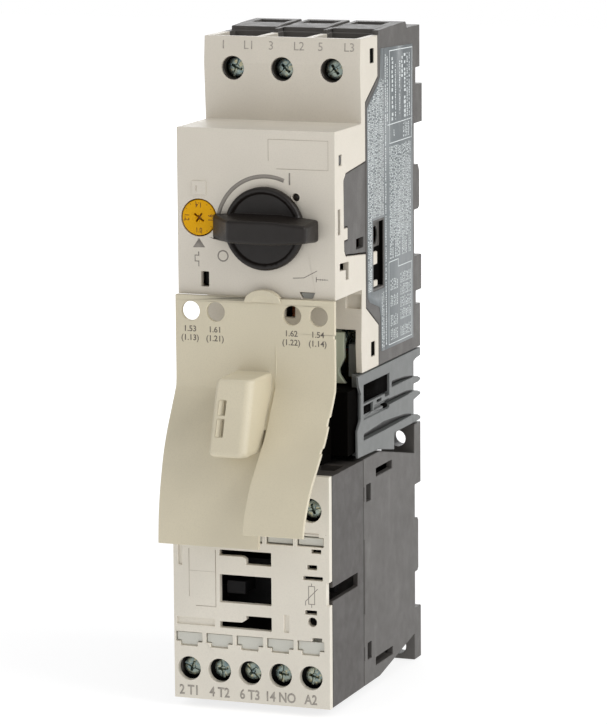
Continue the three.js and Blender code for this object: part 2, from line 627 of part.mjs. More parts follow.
function linkConnector() {
  const outer = sidePrism([
    [52.4, -45.7], [51.4, -48.9], [49.8, -51.1], [49.9, -57.9], [52.6, -60.7], [52.4, -68.2], [36, -68.6],
    [22.6, -71.1], [22.4, -66.4], [5.8, -66.4], [5.8, -45.7],
  ], [-HALF_WIDTH, HALF_WIDTH]);
  const fins = [
    [[6.5, -45.7], [0, -45.7], [0, -48], [3.7, -48.3], [6.5, -49]],
    [[6.5, -53.1], [2.1, -53.7], [0, -54.4], [0, -55], [2.1, -55.3], [6.5, -55.3]],
    [[6.5, -57], [2.1, -57.8], [0, -58.4], [0, -59.1], [2.1, -59.4], [6.5, -59.9]],
    [[6.5, -63.8], [2.1, -64.6], [0, -65.4], [0, -66.2], [6.5, -66.4]],
  ].map((outline) => sidePrism(outline, [-HALF_WIDTH, HALF_WIDTH]));
  const posts = mirroredBlocks([17.4, 20.3], [41.9, 45.6], [-47, -38]);
  const windows = [-1, 1].flatMap((side) => {
    const through = side > 0 ? [18, 24] : [-24, -18];
    const sunk = side > 0 ? [21.1, 24] : [-24, -21.1];
    const ledge = side > 0 ? [21.9, 24] : [-24, -21.9];
    return [
      sidePrism([
        [47.6, -48.8], [26.4, -48.9], [26.4, -54.9], [30.2, -54.9], [30.2, -54], [47.6, -53.9],
      ], through),
      block(through, [40, 47.6], [-57.2, -54.6]),
      block(through, [33, 37], [-55.4, -54.7]),
      block(through, [26.6, 30.3], [-58.3, -57.2]),
      block(sunk, [27, 39.2], [-57.3, -55.9]),
      block(ledge, [30, 47.6], [-58.4, -57.1]),
    ];
  });
  const well = join(
    block([-19.4, 19.4], [27.6, 60], [-75, -40]),
    block([-21.7, 21.7], [48.7, 60], [-75, -40]));
  return join(
    cut(
      join(outer, fins),
      FLANK_GROOVES.flatMap((sections) => [flankGroove(sections, 1), flankGroove(sections, -1)]).flat(),
      windows,
      well),
    posts);
}

const PHASE_LINKS = POLES.map((x, i) => ({ from: x, to: TERMINALS[i], level: -51 - 4 * i }));

function phaseLink({ from, to, level }, spare = 0) {
  const grow = ([low, high]) => [low - spare, high + spare];
  const lane = grow([level, level + 1.2]);
  const across = [Math.min(from, to) - 1.5, Math.max(from, to) + 1.5];
  return join(
    block(grow([from - 1.5, from + 1.5]), grow([34, 35.2]), grow([level, -35])),
    block(grow([from - 1.5, from + 1.5]), grow([34, 61]), lane),
    block(grow(across), grow([59.8, 61]), lane),
    block(grow([to - 1.5, to + 1.5]), grow([59.8, 61]), grow([-82, level + 1.2])));
}

function contactBlock() {
  const body = join(
    block([-19, 19], [28, 57], [-66.8, -49.2]),
    block([-21.3, 21.3], [49.1, 57], [-66.8, -49.2]),
    block([-21.5, 16.2], [56, 63.4], [-68.4, -49.2]));
  return cut(body, PHASE_LINKS.map((link) => phaseLink(link, 0.35)));
}

// ---- assembly ----
const PHASES = ['l1', 'l2', 'l3'];

part('breaker_base', join(breakerBase(), springStop(BREAKER_LATCH.tail)), DARK_HOUSING);
part('breaker_cover', breakerCover(), LIGHT_COVER);
part('breaker_handle', breakerHandle(), BLACK);
part('handle_shaft', handleShaft(), BLACK);
part('setting_dial', settingDial(), YELLOW);
part('trip_test_slider', tripTestSlider(), BLACK);
part('switch_mechanism', switchMechanism(), CORE_STEEL);
part('breaker_contact_bridge', contactBridge(), BLACK);
part('breaker_rail_latch', railLatch(BREAKER_LATCH), DARK_HOUSING);
part('breaker_latch_spring', latchSpring(BREAKER_LATCH.tail), SPRING_STEEL);
POLES.forEach((x, i) => {
  part(`line_bar_${PHASES[i]}`, lineBar(x), COPPER);
  part(`trip_unit_${PHASES[i]}`, tripUnit(x), COPPER);
  part(`line_screw_${PHASES[i]}`, terminalScrew([x, BREAKER_SCREW_Z], BREAKER_SCREW), ZINC);
  part(`line_clamp_${PHASES[i]}`, clampCage(x, BREAKER_SCREW_Z), ZINC);
  part(`load_screw_${PHASES[i]}`, terminalScrew([x, -BREAKER_SCREW_Z], BREAKER_SCREW), ZINC);
  part(`load_clamp_${PHASES[i]}`, clampCage(x, -BREAKER_SCREW_Z), ZINC);
});

part('contactor_base', join(contactorBase(), springStop(CONTACTOR_LATCH.tail)), DARK_HOUSING);
part('contactor_housing', contactorHousing(), DARK_HOUSING);
part('contactor_cover', contactorCover(), LIGHT_COVER);
part('contactor_carrier', contactCarrier(), BLACK);
part('contactor_moving_core', magnetCore([41, 45.7], [36, 42]), CORE_STEEL);
part('contactor_fixed_core', magnetCore([7.8, 12.8], [12, 31]), CORE_STEEL);
part('contactor_coil', magnetCoil(), WINDING);
part('contactor_return_spring', coil(
  new THREE.Vector3(0, depthAt(31), CORE_Z), new THREE.Vector3(0, -1, 0), 9.4, 7.5, 0.35, 4), SPRING_STEEL);
part('contactor_rail_latch', railLatch(CONTACTOR_LATCH), DARK_HOUSING);
part('contactor_latch_spring', latchSpring(CONTACTOR_LATCH.tail), SPRING_STEEL);
part('marker_strip_top', markerStrip([-88, -85.9]), MARKER);
part('marker_strip_bottom', markerStrip([-116.5, -114.4]), MARKER);
part('terminal_block_top', terminalBlock([-83.2, -71.5], TOP_SCREW_Z), BLACK);
part('terminal_block_bottom', terminalBlock([-130.2, -119.4], BOTTOM_SCREW_Z), BLACK);
TERMINALS.forEach((x, i) => {
  part(`contactor_screw_top_${i + 1}`, terminalScrew([x, TOP_SCREW_Z], CONTACTOR_SCREW), ZINC);
  part(`contactor_screw_bottom_${i + 1}`, terminalScrew([x, BOTTOM_SCREW_Z], CONTACTOR_SCREW), ZINC);
});

part('link_cover', linkCover(), LINK_COVER);
part('link_connector', linkConnector(), BLUE_GREY);
part('contact_block', contactBlock(), BLACK);
PHASE_LINKS.forEach((link, i) => part(`phase_link_${PHASES[i]}`, phaseLink(link), BRASS));

export default starter;
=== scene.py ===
"""Looks for a 45 mm wide motor starter: a motor protection breaker above a small contactor, with a
plug-in connector and a clip-on wiring cover between them.

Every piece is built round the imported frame. Shapes are written in millimetres as x across, front
forward of the housings' back plane, and z up; place() turns them into the frame's metres.
"""

import json
import math
import random

import bmesh
import bpy
from mathutils import Matrix, Vector
from mathutils.bvhtree import BVHTree

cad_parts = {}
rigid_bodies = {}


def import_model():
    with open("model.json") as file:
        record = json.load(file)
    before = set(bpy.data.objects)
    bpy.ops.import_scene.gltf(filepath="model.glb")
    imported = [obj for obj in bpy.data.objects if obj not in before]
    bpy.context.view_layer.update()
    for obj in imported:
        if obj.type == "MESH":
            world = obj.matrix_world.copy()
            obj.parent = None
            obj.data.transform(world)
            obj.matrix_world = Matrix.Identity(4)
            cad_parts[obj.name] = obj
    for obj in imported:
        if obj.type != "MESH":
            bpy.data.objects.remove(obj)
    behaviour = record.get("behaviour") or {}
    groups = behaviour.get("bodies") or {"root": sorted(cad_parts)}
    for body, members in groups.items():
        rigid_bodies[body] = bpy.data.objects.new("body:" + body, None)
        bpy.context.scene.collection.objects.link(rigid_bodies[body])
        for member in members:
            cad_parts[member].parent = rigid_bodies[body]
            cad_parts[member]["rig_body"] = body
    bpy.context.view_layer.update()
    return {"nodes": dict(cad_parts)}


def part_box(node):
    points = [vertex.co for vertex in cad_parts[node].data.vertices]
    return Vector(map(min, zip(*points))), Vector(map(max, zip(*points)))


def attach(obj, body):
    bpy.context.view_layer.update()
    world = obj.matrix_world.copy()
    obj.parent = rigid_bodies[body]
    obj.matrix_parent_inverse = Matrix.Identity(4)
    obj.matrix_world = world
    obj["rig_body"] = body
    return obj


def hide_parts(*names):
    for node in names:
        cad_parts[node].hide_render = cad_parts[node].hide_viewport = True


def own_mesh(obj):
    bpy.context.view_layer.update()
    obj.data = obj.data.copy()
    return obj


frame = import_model()

MM = 0.001
RAIL_SEAT = 5.0  # how far the rail seat, where the frame's y is 0, is forward of the back plane
POLES = ("l1", "l2", "l3")
BANDS_PER_SCALE = 0.314  # the wave texture's scale that makes one band per unit of length


def place(x, front, z):
    """A point in millimetres as a point of the frame, in metres."""
    return Vector((x, RAIL_SEAT - front, z)) * MM


def centre_of(node):
    """The middle of a CAD node as x, front and z in millimetres."""
    low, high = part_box(node)
    middle = (low + high) / 2 / MM
    return middle.x, RAIL_SEAT - middle.y, middle.z


# ---- materials ----
def linear(red, green, blue):
    """A screen colour, 0 to 255, as the shader's linear colour."""
    shares = [value / 255 for value in (red, green, blue)]
    return (*[s / 12.92 if s <= 0.04045 else ((s + 0.055) / 1.055) ** 2.4 for s in shares], 1.0)


def shade(colour, factor):
    return (*[min(1.0, channel * factor) for channel in colour[:3]], 1.0)


class Look:
    """A procedural material built up round one Principled shader. Sizes are in millimetres."""

    def __init__(self, name, **constants):
        self.material = bpy.data.materials.new(name)
        self.material.use_nodes = True
        self.tree = self.material.node_tree
        self.tree.nodes.clear()
        self.shader = self.add("ShaderNodeBsdfPrincipled")
        output = self.add("ShaderNodeOutputMaterial")
        self.link(self.shader.outputs["BSDF"], output.inputs["Surface"])
        self.place = self.add("ShaderNodeTexCoord").outputs["Object"]
        for socket, value in constants.items():
            self.shader.inputs[socket.replace("_", " ")].default_value = value

    def add(self, kind, **settings):
        node = self.tree.nodes.new(kind)
        for name, value in settings.items():
            setattr(node, name, value)
        return node

    def link(self, source, target):
        self.tree.links.new(source, target)

    def texture(self, kind, size, stretch=(1, 1, 1), share=1):
        mapping = self.add("ShaderNodeMapping")
        mapping.inputs["Scale"].default_value = stretch
        self.link(self.place, mapping.inputs["Vector"])
        node = self.add(kind)
        node.inputs["Scale"].default_value = share / (size * MM)
        self.link(mapping.outputs["Vector"], node.inputs["Vector"])
        return node

    def noise(self, size, detail, stretch=(1, 1, 1)):
        node = self.texture("ShaderNodeTexNoise", size, stretch)
        node.inputs["Detail"].default_value = detail
        return node.outputs["Fac"]

    def patches(self, size, detail, low=0.0, high=1.0):
        """Soft patches whose value goes between low and high."""
        return self.span(self.noise(size, detail), 0.3, 0.7, low, high)

    def cells(self, size):
        return self.texture("ShaderNodeTexVoronoi", size).outputs["Distance"]

    def bands(self, size, way, distortion=0.0):
        """Even bands, size apart, across the X, Y or Z way."""
        node = self.texture("ShaderNodeTexWave", size, share=BANDS_PER_SCALE)
        node.bands_direction = way
        node.inputs["Distortion"].default_value = distortion
        return node.outputs["Fac"]

    def span(self, source, low, high, to_low, to_high):
        node = self.add("ShaderNodeMapRange")
        sockets = ("From Min", "From Max", "To Min", "To Max")
        for socket, value in zip(sockets, (low, high, to_low, to_high)):
            node.inputs[socket].default_value = value
        self.link(source, node.inputs["Value"])
        return node.outputs["Result"]

    def tint(self, factor, first, second):
        """A colour that goes from first to second with factor; each is a colour or another tint."""
        node = self.add("ShaderNodeMix", data_type="RGBA")
        self.link(factor, node.inputs["Factor"])
        for socket, value in ((node.inputs[6], first), (node.inputs[7], second)):
            if isinstance(value, tuple):
                socket.default_value = value
            else:
                self.link(value, socket)
        return node.outputs[2]

    def bump(self, height, depth, under=None):
        node = self.add("ShaderNodeBump")
        node.inputs["Distance"].default_value = depth * MM
        self.link(height, node.inputs["Height"])
        if under is not None:
            self.link(under, node.inputs["Normal"])
        return node.outputs["Normal"]

    def finish(self, colour=None, roughness=None, normal=None):
        for socket, source in (("Base Color", colour), ("Roughness", roughness), ("Normal", normal)):
            if source is not None:
                self.link(source, self.shader.inputs[socket])
        return self.material


def moulded(name, colour, roughness, grain=0.006, scuffs=0.0, scuff_colour=None, edge=1.12, ior=1.5):
    """Moulded plastic: a fine spark-eroded grain, slow sink marks, and pale scuffs where it is handled.
    Its rounded edges are a little paler and smoother, where the grain has worn off."""
    WORN[name] = moulded_edge(f"{name}_edge", shade(colour, edge), roughness, ior)
    look = Look(name, IOR=ior)
    base = look.tint(look.patches(22, 3), shade(colour, 0.955), shade(colour, 1.03))
    base = look.tint(look.span(look.noise(0.4, 2), 0.45, 0.75, 0, 0.5), base, shade(colour, 0.9))
    if scuffs:
        smear = look.span(look.noise(7, 6, (1, 1, 0.35)), 0.56, 0.8, 0, scuffs)
        base = look.tint(smear, base, scuff_colour)
    rough = look.patches(3, 4, roughness - 0.05, roughness + 0.06)
    normal = look.bump(look.noise(14, 1), 0.05)
    normal = look.bump(look.cells(0.24), grain, normal)
    normal = look.bump(look.noise(0.11, 3), grain * 1.5, normal)
    return look.finish(base, rough, normal)


def moulded_edge(name, colour, roughness, ior):
    look = Look(name, IOR=ior)
    patches = look.span(look.noise(2.5, 4), 0.35, 0.65, 0, 1)
    base = look.tint(patches, shade(colour, 0.92), shade(colour, 1.04))
    rough = look.patches(1.5, 4, roughness - 0.12, roughness)
    return look.finish(base, rough, look.bump(look.noise(0.3, 4), 0.006))


def plated(name, first, second, third, roughness):
    """Plated or bare metal with slow colour bands, fine scratches and a few dull spots."""
    look = Look(name, Metallic=1.0)
    base = look.tint(look.span(look.noise(1.8, 3), 0.38, 0.62, 0, 1), first, second)
    base = look.tint(look.span(look.noise(0.9, 4), 0.5, 0.68, 0, 1), base, third)
    rough = look.patches(0.6, 5, roughness - 0.08, roughness + 0.14)
    normal = look.bump(look.noise(0.5, 5, (1, 8, 1)), 0.01)
    return look.finish(base, rough, normal)


def laminated():
    """A stack of pressed steel sheets, seen as fine lines along the stack."""
    look = Look("sheet_steel_stack", Metallic=1.0)
    lines = look.bands(0.5, "Z")
    base = look.tint(look.noise(3, 4), linear(96, 98, 102), linear(130, 128, 124))
    base = look.tint(look.span(lines, 0.0, 0.25, 1, 0), base, linear(50, 48, 46))
    return look.finish(base, look.patches(1, 4, 0.35, 0.55), look.bump(lines, 0.06))


def wound():
    """Enamelled copper wire, wound in tight layers."""
    look = Look("coil_winding", Coat_Weight=0.4)
    lines = look.bands(0.35, "Y", 0.3)
    base = look.tint(look.noise(2, 3), linear(128, 66, 30), linear(160, 92, 44))
    base = look.tint(look.span(lines, 0, 0.4, 1, 0), base, linear(60, 28, 14))
    return look.finish(base, look.patches(1, 3, 0.3, 0.45), look.bump(lines, 0.1))


def printed(name, colour):
    """A thin printed or moulded mark, a little uneven in tone."""
    look = Look(name, IOR=1.45)
    base = look.tint(look.noise(0.8, 4), shade(colour, 0.88), shade(colour, 1.1))
    normal = look.bump(look.noise(0.15, 3), 0.006)
    return look.finish(base, look.patches(1.5, 3, 0.44, 0.56), normal)


def foil_label():
    """The side label: brushed silver-grey foil with a satin face."""
    look = Look("label_foil", Metallic=0.15, IOR=1.45)
    streaks = look.noise(1.2, 4, (1, 1, 0.08))
    base = look.tint(look.patches(12, 3), linear(116, 121, 123), linear(126, 131, 133))
    base = look.tint(look.span(streaks, 0.4, 0.7, 0, 0.5), base, linear(134, 139, 141))
    return look.finish(base, look.span(streaks, 0.3, 0.7, 0.36, 0.5), look.bump(streaks, 0.008))


WORN = {}
# Moulded plastics: colour, roughness and what else is special.
MOULDED = {
    "light_cover": ((213, 206, 193), 0.46, {"edge": 1.08}),
    # light_front is a paler copy of light_cover for the contactor's front: partly painted light for the
    # brighter lower part of the object, partly the contactor's own paler tone.
    "light_front": ((224, 218, 205), 0.46, {"edge": 1.06}),
    "link_cover": ((209, 200, 176), 0.42, {"grain": 0.004}),
    # tongue is painted shade: the link cover's plastic, greyer and greener as it looks in shade.
    "tongue": ((186, 192, 172), 0.42, {"grain": 0.004}),
    "dark_housing": ((84, 81, 78), 0.5, {
        "grain": 0.012, "scuffs": 0.35, "scuff_colour": linear(128, 126, 122),
    }),
    "notch_grey": ((150, 150, 146), 0.45, {}),
    "dark_front": ((66, 62, 59), 0.5, {"grain": 0.012, "scuffs": 0.3, "scuff_colour": linear(104, 101, 98)}),
    "connector_grey": ((111, 113, 112), 0.5, {"grain": 0.008}),
    "handle_black": ((22, 16, 12), 0.42, {
        "grain": 0.01, "scuffs": 0.1, "scuff_colour": linear(64, 54, 46), "edge": 2.4, "ior": 1.42,
    }),
    # sleeve is also painted shade, on the plates inside the hump's slits.
    "sleeve": ((44, 37, 31), 0.32, {"grain": 0.004}),
    "inner_black": ((9, 8, 7), 0.6, {"grain": 0.01, "ior": 1.35}),
    # deep_black is a matte black with almost no reflection; besides the contact block's own black, it is the
    # painted shade of plates in slots and windows.
    "deep_black": ((7, 6, 5), 0.85, {"grain": 0.01, "edge": 1.6, "ior": 1.08}),
    # groove_painted_shade is painted shade: a darker grey for the downward-facing floors of the connector's
    # grooves.
    "groove_painted_shade": ((46, 46, 45), 0.6, {"grain": 0.008}),
    "carrier_black": ((20, 19, 20), 0.6, {"ior": 1.25}),
    "dial_yellow": ((222, 164, 0), 0.5, {"ior": 1.25}),
    "marker_white": ((204, 203, 194), 0.4, {"grain": 0.003}),
}
# Metals: three colours that run into each other, and roughness.
PLATED = {
    "spring_steel": ((168, 172, 176), (140, 144, 150), (186, 184, 178), 0.28),
    "zinc": ((150, 160, 150), (118, 136, 138), (186, 180, 148), 0.3),
    "copper": ((188, 112, 78), (170, 98, 66), (150, 96, 76), 0.34),
    "brass": ((196, 164, 92), (180, 146, 76), (158, 134, 84), 0.34),
}
PRINTED = {
    "mark_grey": (142, 136, 128), "mark_faint": (178, 168, 154), "mark_pale": (160, 154, 145),
    "mark_dark": (104, 98, 90), "mark_brown": (120, 74, 10), "label_white": (214, 220, 220),
}
LOOKS = {"core_steel": laminated(), "coil_winding": wound(), "label_foil": foil_label()}
for look_name, (tone, rough_share, special) in MOULDED.items():
    LOOKS[look_name] = moulded(look_name, linear(*tone), rough_share, **special)
for look_name, (*tones, rough_share) in PLATED.items():
    LOOKS[look_name] = plated(look_name, *[linear(*tone) for tone in tones], rough_share)
for look_name, tone in PRINTED.items():
    LOOKS[look_name] = printed(look_name, linear(*tone))


# ---- meshes ----
def put_in_scene(name, data):
    thing = bpy.data.objects.new(name, data)
    bpy.context.scene.collection.objects.link(thing)
    return thing


def add_piece(name, bm, look, body="root", replaces=()):
    """Makes a bmesh into a shown piece that rides on a CAD body."""
    bmesh.ops.recalc_face_normals(bm, faces=bm.faces)
    mesh = bpy.data.meshes.new(name)
    bm.to_mesh(mesh)
    bm.free()
    mesh.materials.append(LOOKS[look])
    mesh.polygons.foreach_set("use_smooth", [True] * len(mesh.polygons))
    piece = put_in_scene(name, mesh)
    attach(piece, body)
    if replaces:
        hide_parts(*replaces)
    return piece


def soften(piece, width, segments=2, angle=28):
    """Rounds a piece's edges by width, in millimetres, and gives them the look's worn variant."""
    bevel = piece.modifiers.new("round_edges", "BEVEL")
    bevel.width = width * MM
    bevel.segments = segments
    bevel.limit_method = "ANGLE"
    bevel.angle_limit = math.radians(angle)
    bevel.use_clamp_overlap = False
    bevel.loop_slide = False
    bevel.miter_outer = "MITER_ARC"
    worn = WORN.get(piece.data.materials[0].name)
    if worn:
        piece.data.materials.append(worn)
        bevel.material = 1
    settle(piece)
    bm = bmesh.new()
    bm.from_mesh(piece.data)
    bmesh.ops.triangulate(bm, faces=bm.faces)
    bm.to_mesh(piece.data)
    bm.free()
    return even_normals(piece)


SAME_FLAT = 0.9998  # faces are one flat when the cosine between them is above this
SAME_CORNER = 0.6  # and flats shade as one round corner when it is above this


def even_normals(piece):
    """Gives each corner the normal of the widest flats that meet there, so that flats shade flat."""
    mesh = piece.data
    flats = [[] for _ in mesh.vertices]
    for face in mesh.polygons:
        for vertex in face.vertices:
            for flat in flats[vertex]:
                if flat[0].dot(face.normal) > SAME_FLAT:
                    flat[1] += face.area / (MM * MM)
                    break
            else:
                flats[vertex].append([face.normal.copy(), face.area / (MM * MM)])
    normals = []
    for face in mesh.polygons:
        for vertex in face.vertices:
            near = [flat for flat in flats[vertex] if flat[0].dot(face.normal) > SAME_CORNER]
            total = sum((normal * area**2 for normal, area in near), Vector())
            normals.append(total.normalized() if total.length else face.normal.copy())
    mesh.normals_split_custom_set(normals)
    return piece


def settle(piece):
    """Applies a piece's modifiers to its mesh."""
    graph = bpy.context.evaluated_depsgraph_get()
    piece.data = bpy.data.meshes.new_from_object(piece.evaluated_get(graph))
    piece.modifiers.clear()


def carve(piece, cutter):
    """Cuts a bmesh's closed shapes out of a piece."""
    bmesh.ops.recalc_face_normals(cutter, faces=cutter.faces)
    mesh = bpy.data.meshes.new("cutter")
    cutter.to_mesh(mesh)
    cutter.free()
    return combine(piece, put_in_scene("cutter", mesh), "DIFFERENCE")


def combine(piece, other, operation):
    """Joins another closed piece into this one, or cuts it out of this one."""
    join = piece.modifiers.new("join", "BOOLEAN")
    join.operation = operation
    join.solver = "EXACT"
    join.use_self = operation == "DIFFERENCE"
    join.object = other
    settle(piece)
    bpy.data.objects.remove(other)
    return piece


def mirrored(half, x=0):
    """A whole outline from the points of its right half, about the upright line through x."""
    return [(x - across, z) for across, z in half[::-1]] + [(x + across, z) for across, z in half]


def shape(add, *details):
    """A new bmesh with the one shape that an add_ function makes."""
    bm = bmesh.new()
    add(bm, *details)
    return bm


def add_box(bm, x, front, z):
    corners = [bm.verts.new(place(a, b, c)) for c in z for b in front for a in x]
    for ring in ((0, 1, 3, 2), (4, 6, 7, 5), (0, 4, 5, 1), (2, 3, 7, 6), (0, 2, 6, 4), (1, 5, 7, 3)):
        bm.faces.new([corners[i] for i in ring])


def add_loft(bm, rings):
    """A closed shape through matching rings of points, capped at both ends."""
    loops = [[bm.verts.new(point) for point in ring] for ring in rings]
    bm.faces.new(loops[0][::-1])
    bm.faces.new(loops[-1])
    for first, second in zip(loops, loops[1:]):
        for i, j in zip(range(len(first)), [*range(1, len(first)), 0]):
            bm.faces.new((first[i], first[j], second[j], second[i]))


def add_front_prism(bm, outline, front):
    add_loft(bm, [[place(x, depth, z) for x, z in outline] for depth in front])


def add_side_prism(bm, outline, x):
    add_loft(bm, [[place(across, front, z) for front, z in outline] for across in x])


def add_hull(bm, corners):
    verts = [bm.verts.new(place(*corner)) for corner in corners]
    made = bmesh.ops.convex_hull(bm, input=verts)
    spare = [item for item in made["geom_interior"] if isinstance(item, bmesh.types.BMVert)]
    bmesh.ops.delete(bm, geom=spare, context="VERTS")
    bmesh.ops.dissolve_limit(bm, angle_limit=math.radians(1), verts=bm.verts, edges=bm.edges)


def add_lathe(bm, x, z, profile, steps):
    """A shape turned about the line forward through x, z, from [radius, front] points."""
    verts = [bm.verts.new(place(x + radius, front, z)) for radius, front in profile]
    edges = [bm.edges.new(pair) for pair in zip(verts, verts[1:])]
    bmesh.ops.spin(
        bm, geom=verts + edges, cent=place(x, 0, z), axis=(0, 1, 0), angle=2 * math.pi, steps=steps,
        use_merge=True,
    )
    bmesh.ops.remove_doubles(bm, verts=bm.verts, dist=1e-7)


def polar(x, z, radius, angle):
    """The point at a radius and an angle, in degrees, from x, z."""
    return x + radius * math.cos(math.radians(angle)), z + radius * math.sin(math.radians(angle))


def arc(x, z, radius, start, end, steps):
    return [polar(x, z, radius, start + (end - start) * i / steps) for i in range(steps + 1)]


def body_of(node):
    return frame["nodes"][node]["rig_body"]


def from_cad(node, look, width):
    """The CAD node's own shape as a new piece with rounded edges and a real finish."""
    bm = bmesh.new()
    bm.from_mesh(frame["nodes"][node].data)
    bmesh.ops.remove_doubles(bm, verts=bm.verts, dist=2e-6)
    bmesh.ops.dissolve_limit(bm, angle_limit=math.radians(0.5), verts=bm.verts, edges=bm.edges)
    bmesh.ops.triangulate(bm, faces=[face for face in bm.faces if len(face.verts) > 4])
    piece = add_piece(f"{node}_shell", bm, look, body_of(node), [node])
    for ranges in EXTRA_CUTS.get(node, ()):
        carve(piece, shape(add_box, *ranges))
    return keep_within(soften(piece, width), node)


def keep_within(piece, node):
    """Holds a piece inside its CAD node's box, where a rounded corner would stand out of it."""
    low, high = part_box(node)
    for vert in piece.data.vertices:
        vert.co = Vector([min(max(at, least), most) for at, least, most in zip(vert.co, low, high)])
    return even_normals(piece)


CAPITAL_SHARE = 0.7  # how tall a capital is, as a share of the font's size


class Stencil:
    """Flat marks drawn in millimetres on the front (x, z) or the right side (front, z) of the object,
    raised a hair above the surface that they lie on."""

    def __init__(self, side=False):
        self.bm = bmesh.new()
        self.side = side

    def shape(self, points):
        self.bm.faces.new([self.bm.verts.new((a * MM, b * MM, 0)) for a, b in points])

    def line(self, points, width, closed=False):
        """A line of even width through the points, mitred where it turns."""
        points = [Vector(p) for p in points]
        count = len(points)
        sides = []
        for i, point in enumerate(points):
            before = points[i - 1] if i > 0 or closed else None
            after = points[(i + 1) % count] if i < count - 1 or closed else None
            runs = [(b - a).normalized() for a, b in ((before, point), (point, after)) if a and b]
            along = sum(runs, Vector((0, 0))).normalized()
            across = Vector((-along.y, along.x))
            reach = width / 2 / max(0.35, abs(across.dot(Vector((-runs[0].y, runs[0].x)))))
            sides.append([self.bm.verts.new((*((point + across * s * reach) * MM), 0)) for s in (1, -1)])
        pairs = list(zip(sides, sides[1:])) + ([(sides[-1], sides[0])] if closed else [])
        for (left, right), (next_left, next_right) in pairs:
            self.bm.faces.new((left, right, next_right, next_left))

    def text(self, words, at, height, turn=0.0, widen=1.0, bold=0.012):
        """Generic numbers or letters centred on a point; height is that of a capital."""
        curve = bpy.data.curves.new("words", "FONT")
        curve.body = words
        curve.align_x = "CENTER"
        curve.align_y = "CENTER"
        curve.size = height * MM / CAPITAL_SHARE
        curve.offset = bold * curve.size
        curve.resolution_u = 3
        holder = put_in_scene("words", curve)
        graph = bpy.context.evaluated_depsgraph_get()
        mesh = bpy.data.meshes.new_from_object(holder.evaluated_get(graph))
        bpy.data.objects.remove(holder)
        spot = Matrix.Translation((at[0] * MM, at[1] * MM, 0)) @ Matrix.Rotation(math.radians(turn), 4, "Z")
        mesh.transform(spot @ Matrix.Diagonal((widen, 1, 1, 1)))
        self.bm.from_mesh(mesh)
        bpy.data.meshes.remove(mesh)

    def onto(self, name, surface, look, body="root", rise=0.03, sink=0.02):
        """Raises the marks into thin closed plates that follow the surface of a piece."""
        bm = self.bm
        bmesh.ops.remove_doubles(bm, verts=bm.verts, dist=2e-6)
        backs = list(bm.verts)
        raised = bmesh.ops.extrude_face_region(bm, geom=list(bm.faces), use_keep_orig=True)["geom"]
        tops = {v for v in raised if isinstance(v, bmesh.types.BMVert)}
        graph = bpy.context.evaluated_depsgraph_get()
        tree = BVHTree.FromObject(surface, graph)
        forward = Vector((1, 0, 0)) if self.side else Vector((0, -1, 0))
        depths = []
        for vert in [*backs, *tops]:
            a, b, _ = vert.co
            flat = Vector((0, RAIL_SEAT * MM - a, b)) if self.side else Vector((a, 0, b))
            hit = tree.ray_cast(flat + forward, -forward)[0]
            depth = (hit - flat).dot(forward) if hit else depths[-1]
            depths.append(depth)
            vert.co = flat + forward * (depth + (rise if vert in tops else -sink) * MM)
        return add_piece(name, bm, look, body)


# ---- fine cuts made in a shell: ranges across, forward and up ----
SEAM_CUTS = ((-81, -77), (-112.4, -91.5), (-125.5, -121.6))
EXTRA_CUTS = {
    "breaker_cover": [((-19, -13), (69.4, 71.5), (3.8, 9))],
    "contactor_base": [((22.0, 24), (47.45, 48.4), z) for z in SEAM_CUTS],
}

# ---- pieces that keep the CAD node's shape: how far their edges are rounded, by look ----
SHELLS = {
    "dark_housing": {
        "breaker_base": 0.18, "breaker_rail_latch": 0.3, "contactor_base": 0.22, "contactor_rail_latch": 0.3,
    },
    "dark_front": {"contactor_housing": 0.22},
    "light_cover": {"breaker_cover": 0.2},
    "light_front": {"contactor_cover": 0.13},
    "connector_grey": {"link_connector": 0.2},
    "deep_black": {"contact_block": 0.25},
    "carrier_black": {"contactor_carrier": 0.3},
    "handle_black": {"handle_shaft": 0.3},
    "inner_black": {
        "trip_test_slider": 0.25, "breaker_contact_bridge": 0.25, "terminal_block_top": 0.3,
        "terminal_block_bottom": 0.3,
    },
    "marker_white": {"marker_strip_top": 0.2, "marker_strip_bottom": 0.2},
    "core_steel": {"switch_mechanism": 0.2, "contactor_moving_core": 0.2, "contactor_fixed_core": 0.2},
    "coil_winding": {"contactor_coil": 0.4},
    "copper": {f"{part}_{pole}": 0.2 for part in ("line_bar", "trip_unit") for pole in POLES},
    "zinc": {f"{part}_{pole}": 0.25 for part in ("line_clamp", "load_clamp") for pole in POLES},
    "brass": {f"phase_link_{pole}": 0.15 for pole in POLES},
}


# ---- rotary handle ----
HANDLE = {"x": 2.9, "z": -3.8, "radius": 11.2, "bore": 3.5, "back": 69.8, "reach": 15.6, "tail": 14.65}


